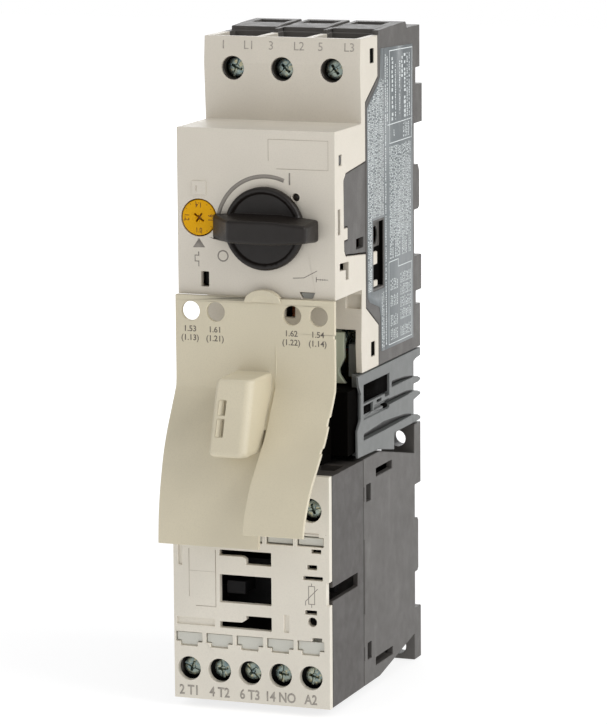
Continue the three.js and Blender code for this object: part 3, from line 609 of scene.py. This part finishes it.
def build_handle():
    x, z = HANDLE["x"], HANDLE["z"]
    rim, bore, back = HANDLE["radius"], HANDLE["bore"], HANDLE["back"]
    disc = shape(add_lathe, x, z, [
        (bore, back), (rim - 0.2, back), (rim, back + 0.2), (rim, 71.1), (rim - 0.25, 71.7),
        (rim - 0.7, 72.0), (rim - 1.2, 71.95), (rim - 1.6, 71.6), (rim - 1.9, 71.3), (5.0, 71.3),
        (bore, 71.3), (bore, back),
    ], 96)
    piece = add_piece("breaker_handle_grip", disc, "handle_black", "handle", ["breaker_handle"])
    left, right = x - HANDLE["tail"], x + HANDLE["reach"]
    # Each place along the bar: across, forward and half of its height.
    places = (
        (left, 69.9, 3.5), (left, 71.2, 3.3), (left + 7.4, 79.3, 3.0), (x + 5, 80.3, 3.1),
        (right - 0.6, 79.8, 2.3), (right - 0.1, 70.4, 3), (x + 5, 69.9, 4), (left + 7.4, 69.9, 4),
    )
    bar = shape(add_hull, [(at, front, z + half * side) for at, front, half in places for side in (-1, 1)])
    grip = add_piece("grip_bar", bar, "handle_black", "handle")
    soften(grip, 0.9, 4, 20)
    combine(piece, grip, "UNION")
    carve(piece, shape(add_front_prism, arc(x, z, bore, 0, 351, 39), (69, 73.9)))
    return soften(piece, 0.18, 2, 40)


# ---- setting dial ----
DIAL = {"x": -16.3, "z": -1.7, "radius": 4.8, "front": 69.5, "turn": -36}


def build_dial():
    x, z, front = DIAL["x"], DIAL["z"], DIAL["front"]
    rim = DIAL["radius"]
    bm = shape(add_lathe, x, z, [
        (0, 50), (3.2, 50), (3.4, 50.2), (3.4, 51.8), (3.2, 52), (2, 52.2), (2, 66.2), (rim - 0.1, 66.2),
        (rim, 66.4), (rim, front - 0.35), (rim - 0.12, front - 0.08), (rim - 0.3, front), (1.95, front),
        (1.8, front - 0.12), (0, front - 0.12),
    ], 72)
    piece = add_piece("setting_dial_disc", bm, "dial_yellow", "dial", ["setting_dial"])
    cutter = bmesh.new()
    for turn in (0, 90):
        along = Vector(polar(0, 0, 1, DIAL["turn"] + turn))
        across = Vector((-along.y, along.x))
        reach = 1.45 if turn else 1.7
        corners = [along * reach * a + across * 0.27 * b for a, b in ((1, 1), (-1, 1), (-1, -1), (1, -1))]
        add_front_prism(cutter, [(x + c.x, z + c.y) for c in corners], (front - 1 - turn / 900, front + 1))
    carve(piece, cutter)
    soften(piece, 0.1, 2, 40)
    low, high = front - 1.1, front - 0.93
    floor = shape(add_lathe, x, z, [(0, low), (2.0, low), (2.0, high), (0, high)], 32)
    add_piece("setting_dial_slot_floor", floor, "mark_brown", "dial")
    marks = Stencil()
    for words, angle in (("1.0", 270), ("1.2", 180), ("1.4", 90), ("1.6", 0)):
        marks.text(words, polar(x, z, 3.45, angle), 1.3, angle + 90, 0.85)
    for step in range(13):
        if step % 4 != 3:
            marks.line([polar(x, z, radius, -78.75 + 22.5 * step) for radius in (4.05, 4.45)], 0.12)
    marks.onto("setting_dial_scale", piece, "mark_brown", "dial")
    return piece


# ---- terminal screws ----
BREAKER_SCREW = {"head": 2.9, "under": 43.9, "top": 45.9, "shank": 1.6, "tip": 36.9}
CONTACTOR_SCREW = {"head": 2.65, "under": 70.9, "top": 72.7, "shank": 1.4, "tip": 63.4}
THREAD_PITCH = 0.7
POLE_STEP = 14.2
LINE_SCREW_Z = 36.6


def screw_pattern(size):
    """One screw at the origin of x and z: domed head, cross and slot recess, ringed thread."""
    head, under, top, shank, tip = size.values()
    profile = [(0, tip), (shank * 0.7, tip), (shank, tip + 0.35)]
    front = tip + 0.35
    while front + THREAD_PITCH < under:
        profile += [(shank, front + 0.2), (shank * 0.82, front + 0.35), (shank * 0.82, front + 0.5)]
        profile += [(shank, front + THREAD_PITCH - 0.05)]
        front += THREAD_PITCH
    profile += [(shank, under), (head - 0.15, under), (head, under + 0.15), (head, top - 0.75)]
    profile += [(head - 0.12, top - 0.45), (head * 0.86, top - 0.18), (head * 0.6, top - 0.04), (0, top)]
    piece = add_piece("screw_pattern", shape(add_lathe, 0, 0, profile, 48), "zinc")
    cutter = bmesh.new()
    long, short = head * 1.2, head * 0.52
    ends = [(a, b) for a in (-1, 1) for b in (-1, 1)]
    slot = ((top - 0.62, 0.32), (top + 1, 0.42))
    add_hull(cutter, [(a * long, front, b * half) for a, b in ends for front, half in slot])
    cross = ((top - 1.2, 0.3, short * 0.6), (top + 1, 0.4, short * 1.5))
    add_hull(cutter, [(b * half, front, a * reach) for a, b in ends for front, half, reach in cross])
    carve(piece, cutter)
    core = [(0, top - 1.35), (0.35, top - 1.2), (1.0, top + 0.5), (0, top + 0.5)]
    carve(piece, shape(add_lathe, 0, 0, core, 24))
    soften(piece, 0.07, 2, 40)
    mesh = piece.data
    bpy.data.objects.remove(piece)
    return mesh


def build_screws(nodes, size, rng):
    """The pattern screw set at every node's place, each left at its own angle."""
    pattern = screw_pattern(size)
    for node in nodes:
        x, _, z = centre_of(node)
        mesh = pattern.copy()
        turned = Matrix.Rotation(math.radians(rng.uniform(0, 180)), 4, "Y")
        mesh.transform(Matrix.Translation(Vector((x, 0, z)) * MM) @ turned)
        piece = put_in_scene(f"{node}_steel", mesh)
        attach(piece, body_of(node))
        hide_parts(node)


def build_screw_wells():
    """The dark sleeves that guide a screwdriver down to the breaker's line screws."""
    low, high = 44.2, 48.3
    inner, outer = 3.02, 3.25
    profile = [(inner, low), (outer, low), (outer, high), (inner, high), (inner, low)]
    for pole, x in zip(POLES, (-POLE_STEP, 0, POLE_STEP)):
        add_piece(f"line_screw_sleeve_{pole}", shape(add_lathe, x, LINE_SCREW_Z, profile, 48), "sleeve")


def build_latch_tabs():
    """Snap tabs of the base that show in the slots at the cover's corners, set close behind the slots in
    near-black: partly the tabs' own dark plastic, partly painted shade for the dark slots.
    """
    for side, across in (("right", (19.6, 22.25)), ("left", (-22.25, -19.6))):
        for end, up in (("upper", (38.1, 41.9)), ("lower", (-41.9, -38.1))):
            tab = shape(add_box, across, (38.06, 41.1), up)
            soften(add_piece(f"cover_snap_tab_shade_{side}_{end}", tab, "deep_black"), 0.1)


# ---- wiring cover ----
LINK_LEFT_PROFILE = [
    (71.4, -22.4), (71.4, -34), (71.4, -45.5), (72.4, -48.6), (75, -52.8), (78.3, -58.2), (80.8, -63.4),
    (82.6, -68.8), (84, -74.2), (84.9, -79.4), (85.3, -83.6), (85.5, -87.8),
]
LINK_RIGHT_PROFILE = [
    (71.4, -22.4), (71.4, -34), (71.4, -44.6), (72.5, -47.8), (75.2, -51.8), (78.6, -57.2), (82.2, -61),
    (86.2, -64.9), (90.8, -69.6), (94.2, -74.8), (96, -78.6), (96.8, -81.4),
]
LINK_EDGES = (-22.6, 6.2, 22.9)
LINK_HOLES_Z = -26.7
HUMP = {"left": -5.6, "right": 4.8, "top": -42.3, "top_front": 84.8, "low": -60.4, "low_front": 91.0}
LINK_SHEET = 1.3
LINK_HOLES = {-18.2: ("1.53", "(1.13)"), -11: ("1.61", "(1.21)"), 10.8: ("1.62", "(1.22)"),
              18.3: ("1.54", "(1.14)")}
HUMP_SLITS = {"upper": (-51.2, -48.1), "lower": (-56.7, -52.9)}


def smooth_curve(points, steps=5):
    """A smooth line through the points, with steps pieces between each two."""
    out = []
    for i in range(len(points) - 1):
        p0, p1, p2, p3 = (Vector(points[min(max(j, 0), len(points) - 1)]) for j in range(i - 1, i + 3))
        for step in range(steps):
            t = step / steps
            spot = p1 * 2 + (p2 - p0) * t + (p0 * 2 - p1 * 5 + p2 * 4 - p3) * t * t
            out.append((spot + (p1 * 3 - p0 - p2 * 3 + p3) * t * t * t) / 2)
    return [*out, Vector(points[-1])]


def bent_sheet(profile, x):
    """The closed side outline of a bent sheet, made into a solid between the two x values."""
    line = smooth_curve(profile)
    back = []
    for i, point in enumerate(line):
        run = line[min(i + 1, len(line) - 1)] - line[max(i - 1, 0)]
        back.append(point + Vector((run.y, -run.x)).normalized() * LINK_SHEET)
    return shape(add_side_prism, [tuple(p) for p in (*line, *back[::-1])], x)


def build_link_cover():
    left, split, right = LINK_EDGES
    sheet = bent_sheet(LINK_LEFT_PROFILE, (left, split))
    piece = add_piece("link_cover_shell", sheet, "link_cover", replaces=["link_cover"])
    half_width, height, foot = 5.2, 3.5, -23.6
    rise = [(x, foot + (z - foot) * height / half_width) for x, z in arc(2.6, foot, half_width, 0, 180, 28)]
    right_sheet = bent_sheet(LINK_RIGHT_PROFILE, (split - 0.3, right))
    tab = shape(add_front_prism, rise, (70.1, 72))
    rib = shape(add_box, (-11, 11), (47, 70.8), (-48.6, -47.2))
    for part in (right_sheet, hump_mesh(), tab, rib):
        combine(piece, add_piece("part", part, "link_cover"), "UNION")
    cutter = bmesh.new()
    for x in LINK_HOLES:
        add_front_prism(cutter, arc(x, LINK_HOLES_Z, 2.6, 0, 352.5, 47), (66, 75))
    for name, (low, high) in HUMP_SLITS.items():
        # Painted shade: a dark plate a little below the hump's face inside each slit.
        corners = [(x, front, z) for x in (-2.74, -2.16) for z in (low, high)
                   for front in (82.5, hump_front(z) - 1.0)]
        add_piece(f"hump_slit_shade_{name}", shape(add_hull, corners), "sleeve")
        add_box(cutter, (-2.75, -2.15), (82, 95), (low - 0.1, high + 0.1))
        scoop = ((-4.0, 1), (-4.0, -0.05), (-2.6, -0.75), (-2.1, -0.75), (-2.1, 1))
        ends = (low - 0.4, high + 0.4)
        add_hull(cutter, [(x, hump_front(z) + rise, z) for z in ends for x, rise in scoop])
    add_box(cutter, (5.0, 5.5), (70, 92), (-61.4, -57))
    for low, high in ((-32.6, -31.6), (-55.2, -53), (-61.6, -60.4)):
        add_box(cutter, (right - 0.35, right + 1), (66, 90), (low, high))
    carve(piece, cutter)
    lens = bmesh.new()
    bmesh.ops.create_uvsphere(lens, u_segments=40, v_segments=24, radius=1)
    flattened = Matrix.Diagonal((4.8 * MM, 1.6 * MM, 2.4 * MM, 1))
    at_tab = Matrix.Translation(place(2.6, 73.2, -23.2))
    bmesh.ops.transform(lens, verts=lens.verts, matrix=at_tab @ flattened)
    carve(piece, lens)
    soften(piece, 0.2, 3, 32)
    marks = Stencil()
    for x, (upper, lower) in LINK_HOLES.items():
        marks.text(upper, (x - 0.2, -31.6), 1.55)
        marks.text(lower, (x - 0.2, -34.0), 1.55)
    marks.onto("link_cover_numbers", piece, "mark_dark", rise=0.025)
    return piece


def build_tongue():
    """The wiring cover's lower tongue. Its colour is painted shade: greyer and a little green beside the
    sheet, as the cover's plastic looks in shade.
    """
    outline = mirrored([(17.4, -48.6), (15.6, -46.2), (15.4, -44.8), (17, -41.5), (17, -34.5)])
    bm = shape(add_front_prism, outline, (46.3, 47.8))
    soften(add_piece("link_cover_tongue", bm, "tongue"), 0.25, 3)


def hump_mesh():
    """The hump as rings from its rounded top, down its sloped face, to its rounded foot."""
    # Each row: height, how far forward, and how far the sides are drawn in.
    rows = (
        (-42.3, 84.1, 0.7), (-42.45, 84.5, 0.35), (-42.8, 84.8, 0.1), (-43.4, hump_front(-43.4), 0),
        (-60.6, hump_front(-60.6), 0), (-61.4, 91.0, 0.06), (-62.0, 90.6, 0.22), (-62.4, 89.9, 0.5),
        (-62.6, 89.1, 0.9),
    )
    return shape(add_loft, [hump_ring(*row) for row in rows])


def hump_ring(z, front, inset):
    """The hump's outline at a height: a tight round on its left front edge, a wide one on its right."""
    left, right = HUMP["left"] + inset, HUMP["right"] - inset
    line = [(left, 70.4), *arc(left + 0.9, front - 0.9, 0.9, 180, 90, 5)]
    line += [*arc(right - 2.4, front - 2.4, 2.4, 90, 0, 9), (right, 70.4)]
    return [place(x, depth, z) for x, depth in line]


def hump_front(z):
    """How far forward the hump's sloped face is at a height."""
    slope = (HUMP["low_front"] - HUMP["top_front"]) / (HUMP["low"] - HUMP["top"])
    return HUMP["top_front"] + (z - HUMP["top"]) * slope


# ---- springs ----
def coil_mesh(start, direction, length, radius, wire, turns, steps=24, sides=10):
    """A round-wire coil with rounded-off ends, as a bmesh. Lengths are in millimetres."""
    side = Vector((1, 0, 0))
    other = direction.cross(side)
    count = turns * steps
    centres = []
    for i in range(count + 1):
        angle = 2 * math.pi * i / steps
        swing = side * math.cos(angle) + other * math.sin(angle)
        centres.append(start + (direction * (length * i / count) + swing * radius) * MM)
    rings = []
    for i, centre in enumerate(centres):
        run = (centres[min(i + 1, count)] - centres[max(i - 1, 0)]).normalized()
        out = run.cross(direction).normalized()
        up = out.cross(run)
        thin = 0.6 if i in (0, count) else 1.0
        rings.append([
            centre + (out * math.cos(a) + up * math.sin(a)) * wire * thin * MM
            for a in (2 * math.pi * j / sides for j in range(sides))
        ])
    return shape(add_loft, rings)


def build_springs():
    up, forward = Vector((0, 0, 1)), Vector((0, -1, 0))
    for node, low, joint in (
        ("breaker_latch_spring", -36.9, "breaker_latch_slide"),
        ("contactor_latch_spring", -129.7, "contactor_latch_slide"),
    ):
        bm = coil_mesh(place(0, 2.6, low), up, 7.4, 1.5, 0.3, 4)
        piece = add_piece(f"{node}_wire", bm, "spring_steel", replaces=[node])
        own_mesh(piece)
    bm = coil_mesh(place(0, 31, -102.1), forward, 9.4, 7.5, 0.35, 4, 36)
    node = "contactor_return_spring"
    piece = add_piece(f"{node}_wire", bm, "spring_steel", replaces=[node])
    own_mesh(piece)


# ---- marks on the breaker's face ----
LINE_NUMBERS = {-16.9: "1", -9.5: "L1", -3.1: "3", 4.9: "L2", 11.1: "5", 19.3: "L3"}
LOCK_AT = (11.4, 4.7)


def dress_breaker_face(cover):
    """The scale's arc, I and O, the circuit symbols, the empty label panel and the line numbers."""
    marks = Stencil()
    inner, outer = (arc(HANDLE["x"], HANDLE["z"], radius, 168, 68, 60) for radius in (13.3, 14.4))
    for i in range(60):
        marks.shape([inner[i], outer[i], outer[i + 1], inner[i + 1]])
    marks.line([(9.7, 8.0), (9.7, 11.2)], 0.42)
    marks.line(arc(-9.45, -11.8, 1.4, 0, 350, 35), 0.36, closed=True)
    marks.shape([(-18.1, -9.8), (-14.6, -9.7), (-16.3, -7.25)])
    marks.line([(-16.45, -10.9), (-16.45, -11.9), (-17.5, -11.9), (-17.5, -13.5), (-16.45, -13.5),
                (-16.45, -14.9)], 0.26)
    marks.line([(10.5, -16.9), (13.6, -16.7), (17.3, -14.7)], 0.22)
    marks.line([(17.1, -16.3), (17.1, -17.7)], 0.22)
    marks.line([(17.1, -17.0), (20.4, -17.0)], 0.18)
    for at in (18.2, 18.9, 19.5):
        marks.line([(at, -16.75), (at, -17.25)], 0.14)
    marks.onto("breaker_face_marks", cover, "mark_grey")
    panel = Stencil()
    panel.line([(3.7, 14.2), (3.7, 20.0), (20.6, 20.0), (20.6, 12.2), (6.0, 12.2)], 0.14)
    panel.onto("breaker_label_panel", cover, "mark_faint", rise=0.02)
    numbers = Stencil()
    for at, words in LINE_NUMBERS.items():
        numbers.text(words, (at, 42.8), 2.3, bold=0.0)
    numbers.onto("breaker_terminal_numbers", cover, "mark_pale", rise=0.02)


def build_face_details():
    """Small shapes on the breaker's face: guide lug, lock hole and lower notch."""
    lug = shape(add_box, (-18.2, -14.1), (69.2, 69.72), (4.5, 8.2))
    lug = add_piece("breaker_guide_lug", lug, "light_cover")
    soften(carve(lug, shape(add_box, (-17.1, -16.7), (69.45, 71), (5.4, 6.9))), 0.14, 3)
    plug = [(0, 67.8), (1.05, 67.8), (1.05, 68.35), (0, 68.35)]
    add_piece("breaker_lock_plug", shape(add_lathe, *LOCK_AT, plug, 32), "sleeve")
    ring = [(1.12, 69.2), (1.4, 69.2), (1.4, 69.4), (1.32, 69.47), (1.2, 69.47), (1.12, 69.4), (1.12, 69.2)]
    add_piece("breaker_lock_ring", shape(add_lathe, *LOCK_AT, ring, 40), "light_cover")
    notch = shape(add_front_prism, mirrored([(1.15, -22.35), (2.1, -20.75)], 14.45), (67.9, 68.7))
    soften(add_piece("breaker_notch_insert", notch, "notch_grey"), 0.15)


# ---- marks on the contactor's front ----
TERMINAL_STEP = 8.78
CONTACTOR_TERMINALS = {
    -0.6 + TERMINAL_STEP * step: words
    for step, words in zip(range(-2, 3), ("2 T1", "4 T2", "6 T3", "14 NO", "A2"))
}


def dress_contactor_front(cover):
    marks = Stencil()
    for x, words in CONTACTOR_TERMINALS.items():
        marks.text(words, (x, -130.3), 2.6, widen=0.84, bold=0.025)
    marks.onto("contactor_terminal_numbers", cover, "mark_pale", rise=0.02)
    lines = Stencil()
    lines.line([(-17.9, -90.9), (-17.9, -104.2)], 0.16)
    lines.line([(-10.2, -90.9), (-10.2, -106.6), (-16.0, -106.6)], 0.2)
    lines.line([(-17.9, -97.0), (-10.2, -97.0)], 0.08)
    lines.line([(9.0, -84.8), (21.6, -84.8)], 0.16)
    lines.onto("contactor_front_lines", cover, "mark_faint", rise=0.015)
    symbol = Stencil()
    symbol.line([(16.5, -99.0), (18.2, -99.0), (18.2, -103.9), (16.5, -103.9)], 0.2, closed=True)
    symbol.line([(17.35, -98.2), (17.35, -99.0)], 0.2)
    symbol.line([(17.35, -103.9), (17.35, -104.8)], 0.2)
    symbol.line([(15.6, -104.3), (15.6, -103.2), (19.1, -99.6)], 0.2)
    symbol.onto("contactor_varistor_symbol", cover, "mark_grey", rise=0.02)


def build_lower_markers():
    """The faces of the lower markers. The middle of each reaches down into the step under its window."""
    bm = bmesh.new()
    half = [(2.42, -117.7), (2.42, -116.65), (3.65, -116.65), (3.65, -114.35)]
    for x in CONTACTOR_TERMINALS:
        add_front_prism(bm, mirrored(half, x), (74.29, 74.62))
    soften(add_piece("marker_faces_bottom", bm, "marker_white"), 0.08)


# ---- the side label ----
def dress_side(base):
    plate = Stencil(side=True)
    plate.shape([(6.4, -41.9), (30.4, -41.8), (30.4, 41.3), (6.5, 40.4)])
    label = plate.onto("breaker_side_label", base, "label_foil", rise=0.1)
    strip = Stencil(side=True)
    strip.shape([
        (30.5, -41.8), (33.2, -41.7), (33.5, -32.2), (34.6, -29.2), (42.4, -26.9), (44.2, -25.2),
        (44.2, 26.0), (42.4, 27.6), (36.2, 31.4), (33.4, 33.8), (32.9, 41.4), (30.5, 41.3), (30.5, -4.9),
        (39.8, -4.9), (39.8, -24.4), (30.5, -24.4),
    ])
    strip_plate = strip.onto("breaker_side_strip", base, "label_foil", rise=0.1)
    frames = Stencil(side=True)
    frames.line([(25.8, 14.7), (25.8, 40.1), (6.9, 39.6), (7.6, 14.7)], 0.26)
    frames.line([(27.5, 19.9), (7.6, 19.9)], 0.26)
    frames.line([(26.1, 14.7), (7.6, 14.7)], 0.26)
    frames.line([(26.8, -18.0), (19.0, -18.0), (19.0, -20.1), (7.8, -20.1), (7.8, -40.9), (27.0, -40.9),
                 (26.8, -18.0)], 0.24)
    rng = random.Random(11)
    for front, low, high, tall in ((23.4, 20.8, 38.2, 1.3), (15.4, 32, 38.6, 1.3), (13.0, 20.8, 38.6, 1.5)):
        printed_row(frames, rng, front, low, high, tall, (0.7, 1.1), 0.35)
    for front, low, high in ((20.9, 20.8, 36), (17.3, 22, 37), (11.0, 20.8, 38.4), (9.3, 20.8, 38.4),
                             (22.2, 16.4, 18.2), (14.2, 15.4, 19.4), (12.8, 15.4, 19.4), (11.4, 15.4, 19.4),
                             (10.0, 15.4, 19.4), (29.2, -40.5, 40), (27.7, 21, 39)):
        printed_row(frames, rng, front, low, high, 0.72)
    for step in range(16):
        printed_row(frames, rng, 8.8 + 1.12 * step, -12.2 if step % 5 == 2 else -17.2, 13.8, 0.66)
    for low in (-39.9, -35.2, -31.8, -28.4, -25.0):
        for step in range(8):
            printed_row(frames, rng, 8.9 + 1.15 * step, low, low + 2.9, 0.62, (0.25, 0.6))
    for low in (-39.9, -36.0, -30.5, -26.0):
        for step in range(5):
            printed_row(frames, rng, 19.9 + 1.3 * step, low, low + 3.1, 0.62, (0.25, 0.6))
    frames.onto("breaker_label_print", label, "label_white", rise=0.015, sink=0.01)
    dots = Stencil(side=True)
    for step in range(12):
        front = 31.3 + 1.08 * step
        low = -24.0 if front > 40.3 else -4.2
        high = min(33.0, 26.2 + (43.4 - front) * 0.62)
        printed_row(dots, rng, front, low, high, 0.74, (0.2, 0.55))
    for front in (31.2, 32.4):
        printed_row(dots, rng, front, -40.8, -25.4, 0.62, (0.2, 0.55))
    dots.onto("breaker_strip_print", strip_plate, "label_white", rise=0.015, sink=0.01)


def printed_row(stencil, rng, front, low, high, tall, lengths=(0.25, 0.7), gap=0.17):
    """Short bars of uneven length along a line up the side, in place of small print."""
    z = low
    while z < high - lengths[0]:
        length = min(rng.uniform(*lengths), high - z)
        height = tall * rng.uniform(0.6, 1.0)
        middle = front + tall * rng.uniform(-0.15, 0.15)
        stencil.line([(middle, z), (middle, z + length)], height)
        z += length + gap * rng.choice((1, 1, 1, 1, 3.5))


def build_side_window():
    """What shows inside the side window and in the cover's flank: two ivory snap hooks, black plates behind
    them that are painted shade for the dark inside, and the dark end of a pin."""
    for name, x, front, z, look in (
        ("side_hook_upper", (21.5, 22.3), (35.4, 38.5), (-17.2, -13.6), "light_cover"),
        ("side_hook_lower", (21.5, 22.3), (35.2, 38.3), (-23.3, -21.5), "light_cover"),
        ("side_window_shade_floor", (21.2, 21.45), (31.3, 39.1), (-23.5, -12.6), "deep_black"),
        ("side_window_shade_end", (21.2, 22.3), (31.05, 31.3), (-23.5, -5.7), "deep_black"),
    ):
        rounding = 0.1 if look == "deep_black" else 0.35
        soften(add_piece(name, shape(add_box, x, front, z), look), rounding, 3)
    oval = [(65.1 + a * 0.9, 14.5 + b * 1.35) for a, b in arc(0, 0, 1, 0, 345, 23)]
    soften(add_piece("cover_flank_pin", shape(add_side_prism, oval, (21.7, 22.4)), "sleeve"), 0.1)


def build_connector_shade():
    """Painted shade in the windows of the connector's walls: black plates close behind them, where the
    contact block's dark flank and the shadowed inside show.
    """
    windows = (
        ((26.5, 47.5), (-53.8, -48.9)), ((40.1, 47.5), (-57.1, -54.7)), ((33.1, 36.9), (-55.3, -54.8)),
        ((26.7, 30.2), (-58.2, -57.3)),
    )
    for side, x in (("right", (19.5, 21.8)), ("left", (-21.8, -19.5))):
        bm = bmesh.new()
        for front, z in windows:
            add_box(bm, x, front, z)
        add_piece(f"connector_window_shade_{side}", bm, "deep_black")


def shade_grooves(connector):
    """Paints shade on the connector's grooves: their sloped floors that face down get a darker look."""
    mesh = connector.data
    mesh.materials.append(LOOKS["groove_painted_shade"])
    for face in mesh.polygons:
        if abs(face.center.x) > 20.4 * MM and face.normal.z < -0.2 and abs(face.normal.x) > 0.2:
            face.material_index = len(mesh.materials) - 1


# ---- floor, light and camera ----
FLOOR_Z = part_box("contactor_base")[0].z
SCENE_SPAN = 4.0
CAMERA = {
    "target": (-0.00055, -0.02472, -0.03718), "distance": 1.131668, "azimuth": 20.477, "elevation": 9.118,
    "roll": -0.403, "lens": 203.25, "shift": (-0.0044, -0.0463),
}
# Each light: azimuth, elevation, distance, width and height, power, colour.
LIGHTS = {
    "key": (78, 30, 1.6, (1.0, 1.0), 15.5, (1, 0.99, 0.97)),
    "fill": (-30, 20, 1.8, (1.2, 1.4), 4.2, (1, 0.965, 0.92)),
    "top": (20, 80, 1.5, (1.2, 1.2), 4, (1, 1, 1)),
    "back": (200, 20, 1.6, (1.6, 0.5), 8, (1, 1, 1)),
}
ROOM_LIGHT = ((0.95, 0.97, 1.0, 1), 0.3)
BACKDROP = ((1, 1, 1, 1), 1.0)
# The paper's own glow, which rises with the distance from the middle.
PAPER_GLOW = {"near": 0.12, "far": 0.5, "near_strength": 0.76, "far_strength": 0.97}


def add_floor():
    look = Look("floor_paper", Roughness=0.9, Emission_Color=(1, 1, 1, 1))
    away = look.add("ShaderNodeVectorMath", operation="LENGTH")
    look.link(look.place, away.inputs[0])
    glow = look.span(away.outputs["Value"], *PAPER_GLOW.values())
    look.link(glow, look.shader.inputs["Emission Strength"])
    base = look.tint(look.noise(60, 4), linear(150, 150, 150), linear(156, 156, 156))
    look.finish(base, None, look.bump(look.noise(2, 4), 0.02))
    mesh = bpy.data.meshes.new("floor")
    half = SCENE_SPAN / 2
    low = FLOOR_Z - 0.0002
    mesh.from_pydata([(-half, -half, low), (half, -half, low), (half, half, low), (-half, half, low)], [],
                     [(0, 1, 2, 3)])
    mesh.materials.append(look.material)
    put_in_scene("floor", mesh)


def direction(azimuth, elevation):
    """From the object towards an azimuth (0 is the front, 90 the right) and elevation, in degrees."""
    around, up = math.radians(azimuth), math.radians(elevation)
    return Vector((math.sin(around) * math.cos(up), -math.cos(around) * math.cos(up), math.sin(up)))


def add_light(name, azimuth, elevation, distance, size, power, colour):
    """A soft box that looks at the object."""
    lamp = bpy.data.lights.new(name, "AREA")
    lamp.shape = "RECTANGLE"
    lamp.size, lamp.size_y = size
    lamp.energy = power
    lamp.color = colour
    holder = put_in_scene(name, lamp)
    back = direction(azimuth, elevation)
    spot = Matrix.Translation(Vector(CAMERA["target"]) + back * distance)
    holder.matrix_world = spot @ back.to_track_quat("Z", "Y").to_matrix().to_4x4()
    holder.visible_camera = False


def add_world():
    """Plain white behind the object, and a weak even light from all round."""
    world = bpy.data.worlds.new("studio")
    bpy.context.scene.world = world
    world.use_nodes = True
    nodes, links = world.node_tree.nodes, world.node_tree.links
    nodes.clear()
    mix = nodes.new("ShaderNodeMixShader")
    links.new(nodes.new("ShaderNodeLightPath").outputs["Is Camera Ray"], mix.inputs["Fac"])
    for i, (colour, strength) in enumerate((ROOM_LIGHT, BACKDROP), 1):
        background = nodes.new("ShaderNodeBackground")
        background.inputs["Color"].default_value = colour
        background.inputs["Strength"].default_value = strength
        links.new(background.outputs["Background"], mix.inputs[i])
    output = nodes.new("ShaderNodeOutputWorld")
    links.new(mix.outputs["Shader"], output.inputs["Surface"])


def add_camera():
    lens = bpy.data.cameras.new("camera")
    lens.lens = CAMERA["lens"]
    lens.sensor_width = 36
    lens.shift_x, lens.shift_y = CAMERA["shift"]
    lens.clip_start, lens.clip_end = 0.05, 20
    camera = put_in_scene("camera", lens)
    back = direction(CAMERA["azimuth"], CAMERA["elevation"])
    around, roll = math.radians(CAMERA["azimuth"]), math.radians(CAMERA["roll"])
    level = Vector((math.cos(around), math.sin(around), 0))
    upward = back.cross(level)
    right = level * math.cos(roll) + upward * math.sin(roll)
    top = upward * math.cos(roll) - level * math.sin(roll)
    turned = Matrix((right, top, back)).transposed().to_4x4()
    camera.matrix_world = Matrix.Translation(Vector(CAMERA["target"]) + back * CAMERA["distance"]) @ turned
    bpy.context.scene.camera = camera


def build():
    shells = {}
    for look, nodes in SHELLS.items():
        for node, rounding in nodes.items():
            shells[node] = from_cad(node, look, rounding)
    shade_grooves(shells["link_connector"])
    build_handle()
    build_dial()
    rng = random.Random(5)
    screws = [f"{side}_screw_{pole}" for side in ("line", "load") for pole in POLES]
    build_screws(screws, BREAKER_SCREW, rng)
    screws = [f"contactor_screw_{side}_{i}" for side in ("top", "bottom") for i in range(1, 6)]
    build_screws(screws, CONTACTOR_SCREW, rng)
    build_link_cover()
    build_tongue()
    build_springs()
    build_screw_wells()
    build_latch_tabs()
    dress_breaker_face(shells["breaker_cover"])
    build_face_details()
    dress_contactor_front(shells["contactor_cover"])
    build_lower_markers()
    dress_side(shells["breaker_base"])
    build_side_window()
    build_connector_shade()


add_world()
add_camera()
add_floor()
for light, settings in LIGHTS.items():
    add_light(light, *settings)
bpy.context.scene.view_settings.view_transform = "Standard"
build()
